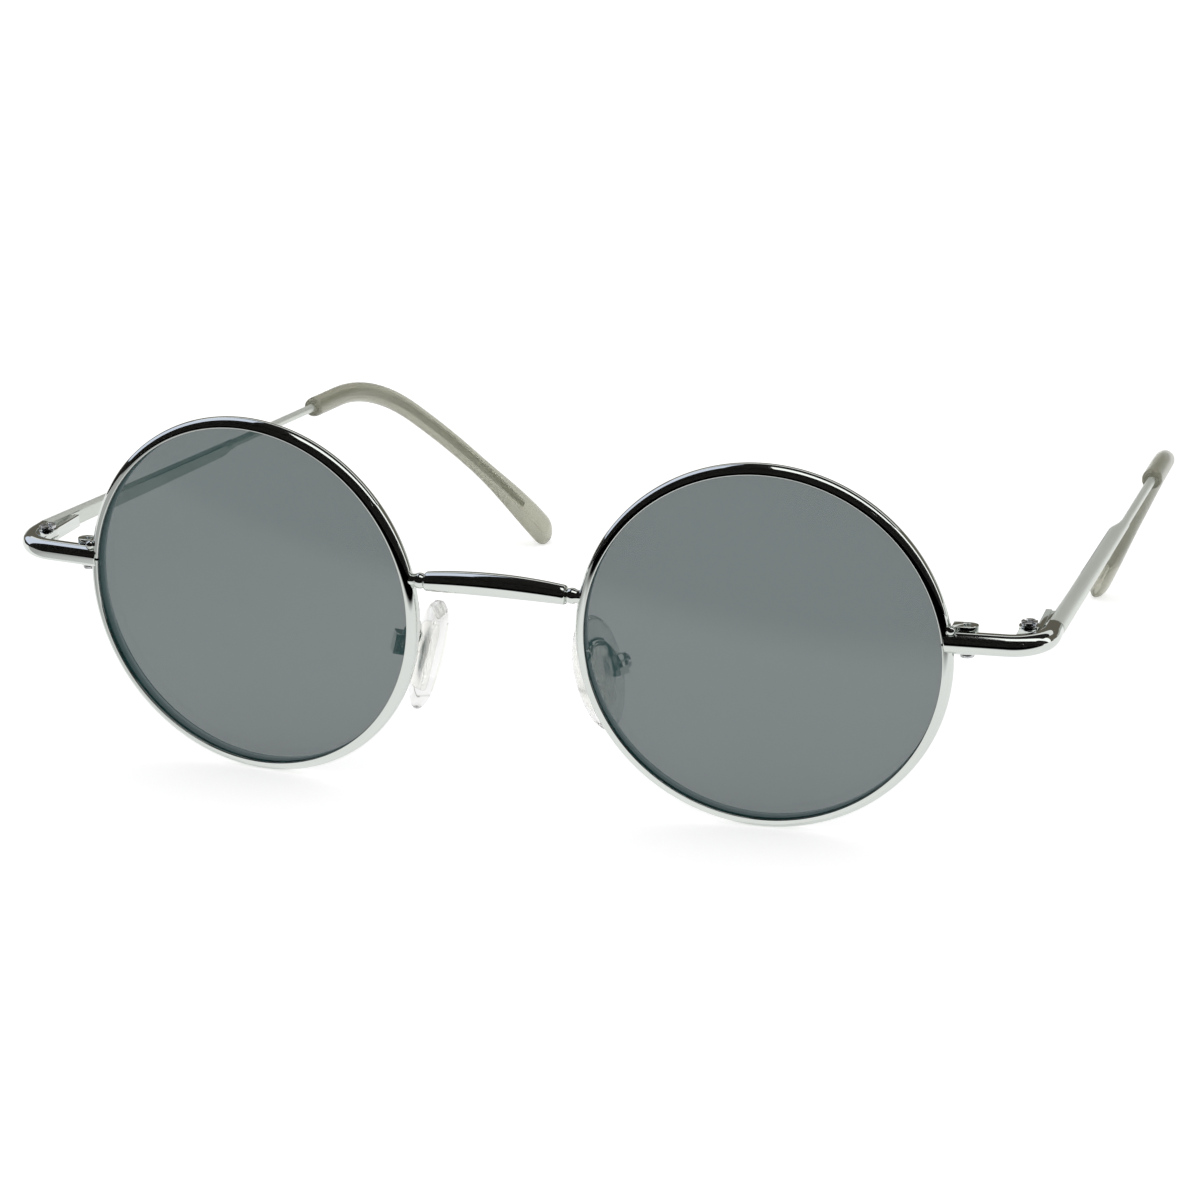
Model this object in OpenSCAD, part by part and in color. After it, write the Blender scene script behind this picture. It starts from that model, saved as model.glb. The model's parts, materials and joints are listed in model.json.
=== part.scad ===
// Round metal-frame sunglasses with folding temples and rocking nose pads.
// The front is drawn in its own frame: X to the side, Y towards the wearer, Z up,
// with its origin midway between the lens centres. It is then set down on the floor.

/* [Lenses] */
// Width of each visible round lens
lens_d = 42; // [38:0.5:46]
// Distance between the two lens openings across the nose
lens_gap = 21.8; // [19:0.2:26]
// Thickness of each lens
lens_t = 1.8; // [1.4:0.1:2]
// Radius of the domed front of each lens
lens_dome_r = 130; // [90:5:400]
// Angle by which each lens plane turns back towards the temple
face_wrap = 5.2; // [0:0.2:8]

/* [Rims] */
// Width of the rim wire from its flat inside to its round outside
rim_w = 1.2; // [1.1:0.05:1.6]
// Diameter of the round rim wire
rim_t = 2.2; // [2:0.1:2.8]
// Depth of the groove that holds the lens edge
groove_t = 0.4; // [0.3:0.05:0.5]

/* [Bridge] */
// Diameter of the bridge bar at its middle
bridge_d = 2.8; // [2.4:0.1:3.2]
// Diameter of the bridge bar at its ends
bridge_end_d = 2.3; // [2.1:0.1:2.6]
// Height of the bridge ends above the lens centres
bridge_z = 4.7; // [2:0.1:8]
// Rise of the bridge at its middle
bridge_rise = 0.35; // [0.2:0.05:1.5]
// Diameter of the necks that join the bridge to the rims
neck_d = 1.5; // [1.2:0.1:1.8]
// Length of each neck
neck_l = 1.4; // [1:0.1:2.5]

/* [End pieces] */
// Height of the half-round end piece
lug_h = 2.5; // [2.1:0.1:3.2]
// Depth of the half-round end piece
lug_t = 1.8; // [1.6:0.1:2.4]
// Height of the end pieces and hinges above the lens centres
hinge_z = 2.2; // [0:0.1:6]
// Distance from the lens centre to the start of the corner
lug_reach = 28.2; // [27.5:0.1:32]
// Radius of the corner at the middle of the end piece
corner_r = 4.7; // [4.4:0.1:5.4]
// Length of the end piece behind its corner
lug_return = 1.8; // [1.6:0.1:4]

/* [Closing blocks] */
// Height of each half of the closing block
block_h = 1.5; // [1.2:0.1:2]
// Width of the closing block
block_w = 3; // [2.6:0.1:3.6]
// Gap at which the rim and its closing block are split
split_gap = 0.3; // [0.2:0.05:0.5]
// Diameter of the closing screw
closing_screw_d = 0.9; // [0.7:0.1:1]

/* [Hinges] */
// Diameter of the hinge barrel
barrel_d = 2.4; // [2.2:0.1:2.6]
// Height of the whole hinge barrel
barrel_h = 2.9; // [2.6:0.1:3.6]
// Height of the knuckle on the temple
knuckle_h = 1.1; // [0.9:0.1:1.4]
// Diameter of the hinge screw
hinge_screw_d = 1.1; // [0.9:0.1:1.3]
// Distance from the hinge axis to the end of the end piece
hinge_to_butt = 2.8; // [2.2:0.1:3]
// Length of the temple's hinge leaf
leaf_l = 8; // [6.5:0.5:14]
// Thickness of the temple's hinge leaf
leaf_t = 0.75; // [0.6:0.05:0.9]

/* [Temples] */
// Angle by which each temple leans in when it is open
temple_splay = 4.6; // [0:0.2:6]
// Angle by which each temple slopes down to the back
temple_drop = 4.4; // [0:0.2:6]
// Length of the wide bar in front of the wire
blade_l = 43; // [30:1:55]
// Height of the bar at the hinge
blade_h = 2.4; // [2:0.1:3]
// Height of the bar at its rear end
blade_end_h = 1.6; // [1.4:0.1:2.4]
// Length over which the bar narrows to the wire
taper_l = 5; // [3:0.5:8]
// Diameter of the temple wire
wire_d = 1.1; // [0.9:0.1:1.3]
// Length of the temple from its front end to the ear bend
straight_l = 78; // [75:1:95]
// Radius of the ear bend
ear_r = 27; // [20:1:40]
// Angle of the ear bend
ear_angle = 40; // [25:1:50]
// Length of the gently curved tail behind the ear bend
tail_l = 32; // [24:1:40]
// Angle through which the tail curves on
tail_angle = 16; // [5:1:30]
// Angle by which the ear bend leans in
ear_lean = 26; // [0:1:35]

/* [Sleeves] */
// Distance from the front end of the temple to the front of the sleeve
sleeve_start = 70.5; // [66:0.5:74]
// Diameter of the sleeve at its front
sleeve_d = 2.7; // [2.3:0.1:3.2]
// Thickness of the sleeve in the tail
sleeve_tail_t = 2.2; // [2:0.1:2.6]
// Thickness of the sleeve at its paddle end
paddle_t = 2.6; // [2.3:0.1:3.2]
// Width of the sleeve at its paddle end
paddle_w = 5.4; // [4:0.1:6.5]
// Length by which the sleeve covers the end of the wire
sleeve_cap = 8; // [5:0.5:12]

/* [Nose pads] */
// Height of each nose pad
pad_h = 13.8; // [12:0.2:17]
// Width of each nose pad
pad_w = 6.6; // [6:0.2:8.5]
// Thickness of each nose pad
pad_t = 3; // [2.2:0.1:3.4]
// Distance of each pad's middle from the centre line
pad_x = 10.8; // [10.4:0.1:13]
// Distance of each pad's middle behind the lens centres
pad_y = 2.7; // [2.5:0.1:4]
// Distance of each pad's middle below the lens centres
pad_down = 6.4; // [5:0.1:8]
// Angle by which the pads spread towards the back
pad_splay = 30; // [20:1:35]
// Angle by which the pads spread towards the bottom
pad_tilt = 15; // [8:0.5:16]
// Diameter of the wire of the pad arms
arm_d = 1.1; // [0.9:0.1:1.3]
// Diameter of the pad screws
pad_screw_d = 0.9; // [0.7:0.1:1.1]

/* [Fits] */
// Gap between soldered or pressed faces
seam = 0.02; // [0.01:0.01:0.04]
// Radial clearance of a hinge on its screw
turn_fit = 0.04; // [0.02:0.01:0.08]
// Gap between faces that move past each other
slide_gap = 0.06; // [0.05:0.01:0.15]
// Gap between the wire of the temple and its sleeve
sleeve_fit = 0.04; // [0.03:0.01:0.08]
// Gap between the opened temple and the end piece
butt_gap = 0.12; // [0.1:0.01:0.3]

/* [Hidden] */
$fn = 64;

chrome = [0.86, 0.87, 0.88];
steel = [0.62, 0.63, 0.65];
smoke = [0.28, 0.31, 0.33, 0.8];
clear = [0.93, 0.95, 0.94, 0.5];
grey_plastic = [0.55, 0.55, 0.49];

// Lens and rim
lens_r = lens_d / 2;
centre_x = (lens_d + lens_gap) / 2;
rim_or = lens_r + rim_w;
rim_wire_r = rim_t / 2;
rim_mid = rim_or - rim_wire_r;
lens_edge_half = lens_t / 2 - 0.1;

// End piece, in the frame of its own lens
lug_ahead = 0.55;
lug_v = -lug_ahead;
lug_round_r = lug_h / 2;
lug_flat = lug_t / 2 - lug_round_r;
corner_turn = 90 - face_wrap + temple_splay;
corner_c = [lug_reach, lug_v + corner_r];
bead_r = 0.6;

// Closing block
block_t = 1.9;
block_v = lug_v + lug_t / 2 + seam;
block_u = rim_or - 0.4;
closing_head_d = closing_screw_d + 0.8;
closing_head_t = 0.45;
closing_screw_u = block_u + block_w * 0.56;
closing_screw_v = block_v + block_t / 2;

// Hinge axis and temple frame, in the front's frame
function turn_z(p, a) = [p[0] * cos(a) - p[1] * sin(a), p[0] * sin(a) + p[1] * cos(a), p[2]];
function turn_y(p, a) = [p[0] * cos(a) + p[2] * sin(a), p[1], -p[0] * sin(a) + p[2] * cos(a)];
function turn_x(p, a) = [p[0], p[1] * cos(a) - p[2] * sin(a), p[1] * sin(a) + p[2] * cos(a)];
function lens_to_front(p) = [centre_x, 0, 0] + turn_z(p, face_wrap);
corner_end = [corner_c[0] + corner_r * sin(corner_turn), corner_c[1] - corner_r * cos(corner_turn), 0];
butt_lens = corner_end + lug_return * [cos(corner_turn), sin(corner_turn), 0];
butt = lens_to_front(butt_lens) + [0, 0, hinge_z];
barrel_r = barrel_d / 2;
hinge_clear = 0.5;
knuckle_clear = 0.2;
bar_x = barrel_r + hinge_clear + lug_t / 2;
hinge = butt - turn_z([bar_x, hinge_to_butt, 0], temple_splay);
corner_in_temple = turn_z(lens_to_front([corner_c[0], corner_c[1], 0]) - hinge, -temple_splay);
corner_inner_r = corner_r - lug_t / 2;

// Temple bar and wire, in the temple's frame
bar_y = hinge_to_butt + butt_gap;
blade_end_t = lug_t - 0.1;
wire_shoulder_d = wire_d + 0.2;
bend_end = ear_r * ear_angle * PI / 180;
temple_l = straight_l + bend_end + tail_l;
tail_r = tail_l / (tail_angle * PI / 180);
sleeve_over = 2;
sleeve_end = temple_l + sleeve_over;
wire_l = sleeve_end - sleeve_cap;

// Points along the temple, in the plane of the ear bend: [along, up, angle of fall]
function fall(s) =
  s <= straight_l ? 0 :
  s <= straight_l + bend_end ? (s - straight_l) / ear_r * 180 / PI :
  ear_angle + (s - straight_l - bend_end) / tail_r * 180 / PI;
ear_c = [straight_l, -ear_r];
ear_exit = ear_c + ear_r * [sin(ear_angle), cos(ear_angle)];
tail_c = ear_exit - tail_r * [sin(ear_angle), cos(ear_angle)];
function along(s) =
  s <= straight_l ? [s, 0] :
  s <= straight_l + bend_end ? ear_c + ear_r * [sin(fall(s)), cos(fall(s))] :
  tail_c + tail_r * [sin(fall(s)), cos(fall(s))];

// Sleeve sections: half thickness and half width at a distance along the temple
function smooth(t) = let (c = max(0, min(1, t))) c * c * (3 - 2 * c);
function mix(a, b, t) = a + (b - a) * t;
sleeve_nose = 1.2;
paddle_nose = paddle_w * 0.42;
paddle_start = sleeve_end - 19;
function round_off(d, l) = d >= l ? 1 : sqrt(max(0, 1 - pow(1 - d / l, 2)));
function sleeve_half_t(s) =
  mix(mix(sleeve_d, sleeve_tail_t, smooth((s - straight_l) / 25)), paddle_t,
      smooth((s - paddle_start) / 16)) / 2
  * mix(0.8, 1, round_off(s - sleeve_start, sleeve_nose)) * round_off(sleeve_end - s, paddle_nose);
function sleeve_half_w(s) =
  mix(mix(sleeve_d, sleeve_d * 1.12, smooth((s - straight_l) / 25)), paddle_w,
      smooth((s - paddle_start) / 16)) / 2
  * mix(0.8, 1, round_off(s - sleeve_start, sleeve_nose)) * round_off(sleeve_end - s, paddle_nose);

wire_x = (lug_t - wire_shoulder_d) / 2;
function ear_to_temple(p) = [bar_x, bar_y, 0] + turn_x([wire_x, 0, 0] + turn_y(p, ear_lean), -temple_drop);
function temple_to_front(p) = hinge + turn_z(p, temple_splay);

sleeve_sides = 20;
function sleeve_point(s, a) =
  let (c = along(s), f = fall(s), w = sleeve_half_w(s) * sin(a))
  [sleeve_half_t(s) * cos(a), c[0] + w * sin(f), c[1] + w * cos(f)];

// The rims' lowest points and the sleeves' ends stand on the floor
function floor_angle(p) =
  let (d = [p[1], p[2] + rim_mid])
  atan2(d[1], d[0]) + asin(rim_wire_r / norm(d));
floor_tilt = -min([for (i = [0:20]) for (k = [0:sleeve_sides - 1])
  floor_angle(temple_to_front(ear_to_temple(
    sleeve_point(sleeve_end - 10 + i * 0.495, 360 * k / sleeve_sides))))]);
floor_lift = rim_wire_r + rim_mid * norm([sin(face_wrap) * sin(floor_tilt), cos(floor_tilt)]);

// Middle of the whole depth: from the rims' upper fronts to the sleeves' ends
front_most = -rim_mid * norm([sin(face_wrap) * cos(floor_tilt), sin(floor_tilt)]) - rim_wire_r;
rear_most = max([for (i = [0:60]) for (k = [0:sleeve_sides - 1])
  turn_x(temple_to_front(ear_to_temple(
    sleeve_point(mix(paddle_start, sleeve_end, i / 60), 360 * k / sleeve_sides))), floor_tilt)[1]]);
floor_shift = -(front_most + rear_most) / 2;

// Nose pads
pad_c = [pad_x, pad_y, -pad_down];
function pad_to_front(p) = pad_c + turn_z(turn_y(p, -pad_tilt), -pad_splay);
box_wall = 0.5;
tab_t = 1;
tab_r = 0.75;
tab_gap = 0.05;
pad_rock = 8;
box_x = pad_t / 2 + 1.6;
box_z = 1;
box_half_y = tab_t / 2 + tab_gap + box_wall;
box_back = tab_r + 0.1;
box_mouth = 0.6;
box_room_z = tab_r + box_mouth * sin(pad_rock) + tab_gap;
box_half_z = box_room_z + 0.35;
pad_head_d = pad_screw_d + 0.9;
pad_head_t = 0.9;
core_t = 0.6;
core_w = 3;
core_h = 8;

module place(side) {
  translate([0, floor_shift, floor_lift]) rotate([floor_tilt, 0, 0])
    if (side == "left") mirror([1, 0, 0]) children();
    else children();
}
module lens_frame() {
  translate([centre_x, 0, 0]) rotate([0, 0, face_wrap]) children();
}
module temple_frame() {
  translate(hinge) rotate([0, 0, temple_splay]) children();
}
module bar_frame() {
  temple_frame() translate([bar_x, bar_y, 0]) rotate([-temple_drop, 0, 0]) children();
}
module pad_frame() {
  translate(pad_c) rotate([0, 0, -pad_splay]) rotate([0, -pad_tilt, 0]) children();
}

// A solid through rings of points, closed at both ends
module skin(rings) {
  n = len(rings[0]);
  points = [for (r = rings) each r];
  last = (len(rings) - 1) * n;
  walls = [for (i = [0:len(rings) - 2]) for (k = [0:n - 1])
    let (a = i * n + k, b = i * n + (k + 1) % n)
    each [[a, b, b + n], [a, b + n, a + n]]];
  caps = [[for (k = [n - 1:-1:0]) k], [for (k = [0:n - 1]) last + k]];
  polyhedron(points = points, faces = concat(walls, caps));
}

// The space that a rim fills, from its opening to its outer edge
module rim_envelope() {
  rotate([-90, 0, 0]) rotate_extrude($fn = 180)
    intersection() {
      union() {
        translate([rim_mid, 0]) circle(r = rim_wire_r + seam);
        translate([lens_r - 0.6, -rim_wire_r - seam])
          square([rim_mid - lens_r + 0.6, rim_t + 2 * seam]);
      }
      translate([lens_r - 0.6, -rim_t]) square([rim_w + 1, 2 * rim_t]);
    }
}

// A round wire, cut flat on its inside, with the groove for the lens
module rim_section() {
  difference() {
    intersection() {
      translate([rim_mid, 0]) circle(r = rim_wire_r);
      translate([lens_r, -rim_t]) square([rim_w + 1, 2 * rim_t]);
    }
    polygon([[lens_r - 1, -groove_t - 1], [lens_r + groove_t, 0], [lens_r - 1, groove_t + 1]]);
  }
}

module rim(side) {
  color(chrome) place(side) lens_frame()
    difference() {
      rotate([-90, 0, 0]) rotate_extrude($fn = 180) rim_section();
      translate([lens_r - 1, -rim_t, hinge_z - split_gap / 2])
        cube([rim_w + 2, 2 * rim_t, split_gap]);
    }
}

module lens(side) {
  dome_y = lens_dome_r - sqrt(pow(lens_dome_r, 2) - pow(lens_r, 2));
  dome_c = lens_dome_r - dome_y;
  body_r = lens_r - seam;
  bevel = groove_t - seam;
  color(smoke) place(side) lens_frame()
    union() {
      rotate([-90, 0, 0]) rotate_extrude($fn = 180)
        polygon([[body_r - 0.6, -bevel], [body_r, -bevel], [body_r + bevel, 0],
                 [body_r, bevel], [body_r - 0.6, bevel]]);
      intersection() {
        translate([0, dome_c - lens_edge_half, 0]) sphere(r = lens_dome_r, $fn = 360);
        difference() {
          rotate([-90, 0, 0]) translate([0, 0, -lens_t - dome_y])
            cylinder(r = body_r, h = 2 * lens_t + dome_y, $fn = 180);
          translate([0, dome_c + lens_edge_half, 0]) sphere(r = lens_dome_r, $fn = 360);
        }
      }
    }
}

// The bridge is one skin: an arched, barrel-shaped bar with a bead and a neck at each rim
bridge_joint = lens_to_front([-sqrt(pow(rim_or, 2) - pow(bridge_z, 2)), 0, bridge_z]);
bridge_half = bridge_joint[0] - neck_l;
bridge_soft = 0.3;
bridge_body = bridge_half - bridge_soft;
bridge_bead_r = neck_d / 2 + 0.18;
bridge_bead_x = bridge_half + neck_l * 0.42;
bridge_sides = 28;
bridge_reach = concat(
  [for (i = [1:8]) bridge_body * i / 8],
  [for (i = [1:3]) bridge_body + bridge_soft * sin(30 * i)],
  [for (i = [-3:3]) bridge_bead_x + bridge_bead_r * sin(12 * i)],
  [bridge_joint[0] + 0.7]);
bridge_steps = concat([for (i = [len(bridge_reach) - 1:-1:0]) -bridge_reach[i]], [0], bridge_reach);
function bridge_radius(x) =
  x > bridge_half ? max(neck_d / 2, sqrt(max(0, pow(bridge_bead_r, 2) - pow(x - bridge_bead_x, 2)))) :
  mix(bridge_d, bridge_end_d, pow(x / bridge_half, 2)) / 2
  - bridge_soft * (1 - round_off(bridge_half - x, bridge_soft));
function bridge_point(x, a) =
  let (r = bridge_radius(abs(x)), rise = bridge_rise * max(0, 1 - pow(x / bridge_half, 2)))
  [x, r * cos(a), rise + r * sin(a)];

module bridge() {
  color(chrome) place("right")
    difference() {
      translate([0, bridge_joint[1], bridge_z])
        skin([for (x = bridge_steps) [for (k = [0:bridge_sides - 1])
          bridge_point(x, -360 * k / bridge_sides)]]);
      lens_frame() rim_envelope();
      mirror([1, 0, 0]) lens_frame() rim_envelope();
    }
}

// The half-round section, round towards +X, centred on its depth
module lug_section() {
  union() {
    translate([lug_flat, 0]) circle(r = lug_round_r);
    translate([-lug_t / 2, -lug_h / 2]) square([lug_t / 2 + lug_flat, lug_h]);
  }
}
module lug_profile() {
  intersection() {
    lug_section();
    translate([-lug_t / 2, -lug_h]) square([lug_t, 2 * lug_h]);
  }
}

module end_piece(side) {
  tongue = lens_r + 0.15;
  color(chrome) place(side) lens_frame() translate([0, 0, hinge_z])
    union() {
      difference() {
        union() {
          translate([tongue, lug_v, 0]) rotate([90, 0, 90]) linear_extrude(lug_reach - tongue)
            mirror([1, 0]) lug_profile();
          translate([rim_or - 0.25, lug_v - 0.15, lug_h / 2 + 0.3]) sphere(r = bead_r);
        }
        translate([0, 0, -hinge_z]) rim_envelope();
      }
      translate([corner_c[0], corner_c[1], 0]) rotate([0, 0, -90])
        rotate_extrude(angle = corner_turn, $fn = 120) translate([corner_r, 0]) lug_profile();
      translate([corner_c[0], corner_c[1], 0]) rotate([0, 0, corner_turn - 90])
        translate([corner_r, lug_return, 0]) rotate([90, 0, 0]) linear_extrude(lug_return) lug_profile();
    }
}

// One half of the closing block: half = 1 is the upper one, half = -1 the lower one
module block_half(half) {
  low = half > 0 ? split_gap / 2 : -split_gap / 2 - block_h;
  difference() {
    intersection() {
      translate([block_u, block_v, low]) cube([block_w, block_t, block_h]);
      union() {
        translate([block_u + block_w - block_t / 2, block_v + block_t / 2, low])
          cylinder(d = block_t, h = block_h);
        translate([block_u, block_v, low]) cube([block_w - block_t / 2, block_t, block_h]);
      }
    }
    translate([0, 0, -hinge_z]) rim_envelope();
    translate([closing_screw_u, closing_screw_v, -barrel_h])
      cylinder(d = closing_screw_d + 2 * seam, h = 2 * barrel_h);
  }
}
module closing_block_upper(side) {
  color(steel) place(side) lens_frame() translate([0, 0, hinge_z]) block_half(1);
}
module closing_block_lower(side) {
  color(steel) place(side) lens_frame() translate([0, 0, hinge_z]) block_half(-1);
}

// A slotted screw with its head at the origin's upper side and its shank below
module slotted_screw(shank_d, shank_l, head_d, head_t) {
  slot_w = 0.3;
  difference() {
    union() {
      translate([0, 0, -shank_l]) cylinder(d = shank_d, h = shank_l + head_t / 2);
      cylinder(d = head_d, h = head_t);
    }
    translate([-head_d, -slot_w / 2, head_t * 0.55]) cube([2 * head_d, slot_w, head_t]);
  }
}
module closing_screw(side) {
  reach = 2 * block_h + split_gap - 0.3;
  color(steel) place(side) lens_frame()
    translate([closing_screw_u, closing_screw_v, hinge_z - split_gap / 2 - block_h - seam])
      mirror([0, 0, 1]) slotted_screw(closing_screw_d, reach, closing_head_d, closing_head_t);
}

// The hinge half on the end piece: two knuckles on one foot in the corner
module front_hinge(side) {
  foot_w = barrel_d - 0.3;
  web_y = barrel_r + knuckle_clear;
  gap_half = knuckle_h / 2 + slide_gap;
  color(steel) place(side) temple_frame()
    difference() {
      intersection() {
        union() {
          translate([0, 0, -barrel_h / 2]) cylinder(d = barrel_d, h = barrel_h);
          translate([-foot_w / 2, -3 * barrel_d, -barrel_h / 2 + 0.2])
            cube([foot_w, 3 * barrel_d, barrel_h - 0.4]);
        }
        union() {
          translate([corner_in_temple[0], corner_in_temple[1], -barrel_h])
            cylinder(r = corner_inner_r - seam, h = 2 * barrel_h, $fn = 120);
          translate([-2 * barrel_d, corner_in_temple[1], -barrel_h])
            cube([2 * barrel_d + barrel_r + hinge_clear - seam, 2 * barrel_d, 2 * barrel_h]);
        }
      }
      translate([-barrel_d, -web_y, -gap_half]) cube([2 * barrel_d, 2 * barrel_d, 2 * gap_half]);
      translate([0, 0, -barrel_h]) cylinder(d = hinge_screw_d + 2 * seam, h = 2 * barrel_h);
    }
}

// The hinge half on the temple: a knuckle and the leaf soldered inside the bar
module temple_hinge(side) {
  leaf_x = barrel_r - leaf_t;
  leaf_h = 1.4;
  leaf_low = -leaf_h / 2 - (leaf_l / 2) * tan(temple_drop);
  leaf_from = barrel_r + 0.4;
  pad_from = bar_y + 0.3;
  color(steel) place(side) temple_frame()
    difference() {
      union() {
        translate([0, 0, -knuckle_h / 2]) cylinder(d = barrel_d, h = knuckle_h);
        translate([leaf_x, 0, -knuckle_h / 2]) cube([leaf_t, leaf_l, knuckle_h]);
        translate([leaf_x, leaf_from, leaf_low]) cube([leaf_t, leaf_l - leaf_from, leaf_h]);
        translate([leaf_x, pad_from, leaf_low])
          cube([leaf_t + hinge_clear - seam, leaf_l - pad_from, leaf_h]);
      }
      translate([0, 0, -barrel_h]) cylinder(d = hinge_screw_d + 2 * turn_fit, h = 2 * barrel_h);
    }
}

module hinge_screw(side) {
  head_d = 1.9;
  head_t = 0.45;
  slot_w = 0.35;
  color(steel) place(side) temple_frame() translate([0, 0, barrel_h / 2 + seam])
    difference() {
      union() {
        translate([0, 0, -barrel_h]) cylinder(d = hinge_screw_d, h = barrel_h + head_t / 2);
        cylinder(d = head_d, h = head_t);
      }
      for (a = [0, 90])
        rotate([0, 0, 45 + a]) translate([-head_d, -slot_w / 2, head_t * 0.5])
          cube([2 * head_d, slot_w, head_t]);
    }
}

// The bar's section: flat towards the wearer, round outside
blade_sides = 24;
function blade_point(s, a) =
  let (t = smooth((s - blade_l) / taper_l),
       half_h = mix(mix(blade_h, blade_end_h, s / blade_l), wire_shoulder_d, t) / 2,
       half_t = mix(mix(lug_t, blade_end_t, s / blade_l), wire_shoulder_d, t) / 2,
       n = mix(cos(a) < 0 ? 5 : 2.3, 2, t),
       x = lug_t / 2 - half_t + half_t * sign(cos(a)) * pow(abs(cos(a)), 2 / n),
       z = half_h * sign(sin(a)) * pow(abs(sin(a)), 2 / n))
  [x, s > 0 ? s : -z * tan(temple_drop), z];
blade_stations = [0, 0.25 * blade_l, 0.5 * blade_l, 0.75 * blade_l,
  for (i = [0:6]) blade_l + i * taper_l / 6];

// The wire behind the bar, with its points in line with those of the bar
bend_steps = 10;
tail_steps = 10;
path_steps = concat(
  [for (i = [0:bend_steps]) straight_l + bend_end * i / bend_steps],
  [for (i = [1:tail_steps]) mix(straight_l + bend_end, wire_l, i / tail_steps)]);
function wire_point(s, a) =
  let (c = along(s), f = fall(s), w = wire_d / 2 * sin(a + ear_lean))
  [wire_x, 0, 0] + turn_y([wire_d / 2 * cos(a + ear_lean), c[0] + w * sin(f), c[1] + w * cos(f)], ear_lean);

module temple(side) {
  wire_start = blade_l + taper_l + 0.1;
  color(chrome) place(side) bar_frame()
    skin(concat(
      [for (s = blade_stations) [for (k = [0:blade_sides - 1]) blade_point(s, 360 * k / blade_sides)]],
      [for (s = concat([wire_start], path_steps))
        [for (k = [0:blade_sides - 1]) wire_point(s, 360 * k / blade_sides)]]));
}

// The sleeve is one skin: up the bore to its mouth, then back over the outside
sleeve_steps = concat(
  [for (i = [0:4]) sleeve_start + i * sleeve_nose / 4],
  [for (i = [1:3]) mix(sleeve_start + sleeve_nose, straight_l, i / 3)],
  [for (i = [1:bend_steps]) mix(straight_l, straight_l + bend_end, i / bend_steps)],
  [for (i = [1:tail_steps]) mix(straight_l + bend_end, sleeve_end - paddle_nose, i / tail_steps)],
  [for (i = [1:5]) sleeve_end - paddle_nose * (1 - sin(i * 16.4))]);
bore_steps = concat(
  [wire_l + 0.3],
  [for (i = [len(path_steps) - 1:-1:0]) path_steps[i]],
  [sleeve_start]);
bore_r = (wire_d / 2 + sleeve_fit) / cos(180 / sleeve_sides);
function bore_point(s, a) =
  let (c = along(s), f = fall(s), w = bore_r * sin(a))
  [bore_r * cos(a), c[0] + w * sin(f), c[1] + w * cos(f)];

module ear_sleeve(side) {
  color(grey_plastic) place(side) bar_frame() translate([wire_x, 0, 0]) rotate([0, ear_lean, 0])
    skin(concat(
      [for (s = bore_steps) [for (k = [0:sleeve_sides - 1]) bore_point(s, 360 * k / sleeve_sides)]],
      [for (s = sleeve_steps) [for (k = [0:sleeve_sides - 1]) sleeve_point(s, 360 * k / sleeve_sides)]]));
}

// The wire of a pad arm runs from the back of the rim to the top of the pad box
arm_z = -2.9;
arm_from = lens_to_front([-sqrt(pow(rim_mid + 0.4, 2) - pow(arm_z, 2)), 0.3, arm_z]);
arm_from_dir = turn_z([0, 1, 0], face_wrap);
arm_to = pad_to_front([box_x, 0, box_z + box_half_z + seam]);
arm_to_dir = pad_to_front([0, 0, 1]) - pad_to_front([0, 0, 0]);
arm_rise = pad_to_front([box_x, 0, box_z + box_half_z + seam + 1.2]);
arm_points = [arm_from, arm_from + 3.2 * arm_from_dir + [0.3, 0, 2.2], arm_rise, arm_to];
function bezier(p, t) =
  pow(1 - t, 3) * p[0] + 3 * pow(1 - t, 2) * t * p[1] + 3 * (1 - t) * t * t * p[2] + pow(t, 3) * p[3];
function unit(v) = v / norm(v);
function heading(p, t) =
  t <= 0 ? arm_from_dir : t >= 1 ? -arm_to_dir :
  unit(bezier(p, t + 0.01) - bezier(p, t - 0.01));
arm_sides = 10;
arm_steps = 14;
function arm_ring(t) =
  let (c = bezier(arm_points, t), d = heading(arm_points, t),
       u = unit(cross(d, [1, 0, 0])), v = cross(d, u))
  [for (k = [0:arm_sides - 1]) let (a = -360 * k / arm_sides) c + arm_d / 2 * (cos(a) * u + sin(a) * v)];

module pad_arm(side) {
  color(chrome) place(side)
    difference() {
      skin([for (i = [0:arm_steps]) arm_ring(i / arm_steps)]);
      lens_frame() rim_envelope();
    }
}

module pad_box(side) {
  color(steel) place(side) pad_frame() translate([box_x, 0, box_z])
    difference() {
      translate([-box_mouth, -box_half_y, -box_half_z])
        cube([box_mouth + box_back + box_wall, 2 * box_half_y, 2 * box_half_z]);
      translate([-box_mouth - 1, -tab_t / 2 - tab_gap, -box_half_z - 1])
        cube([box_mouth + 1 + box_back, tab_t + 2 * tab_gap, box_half_z + 1 + box_room_z]);
      rotate([90, 0, 0]) translate([0, 0, -2 * box_half_y])
        cylinder(d = pad_screw_d + 2 * seam, h = 4 * box_half_y);
    }
}

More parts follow.
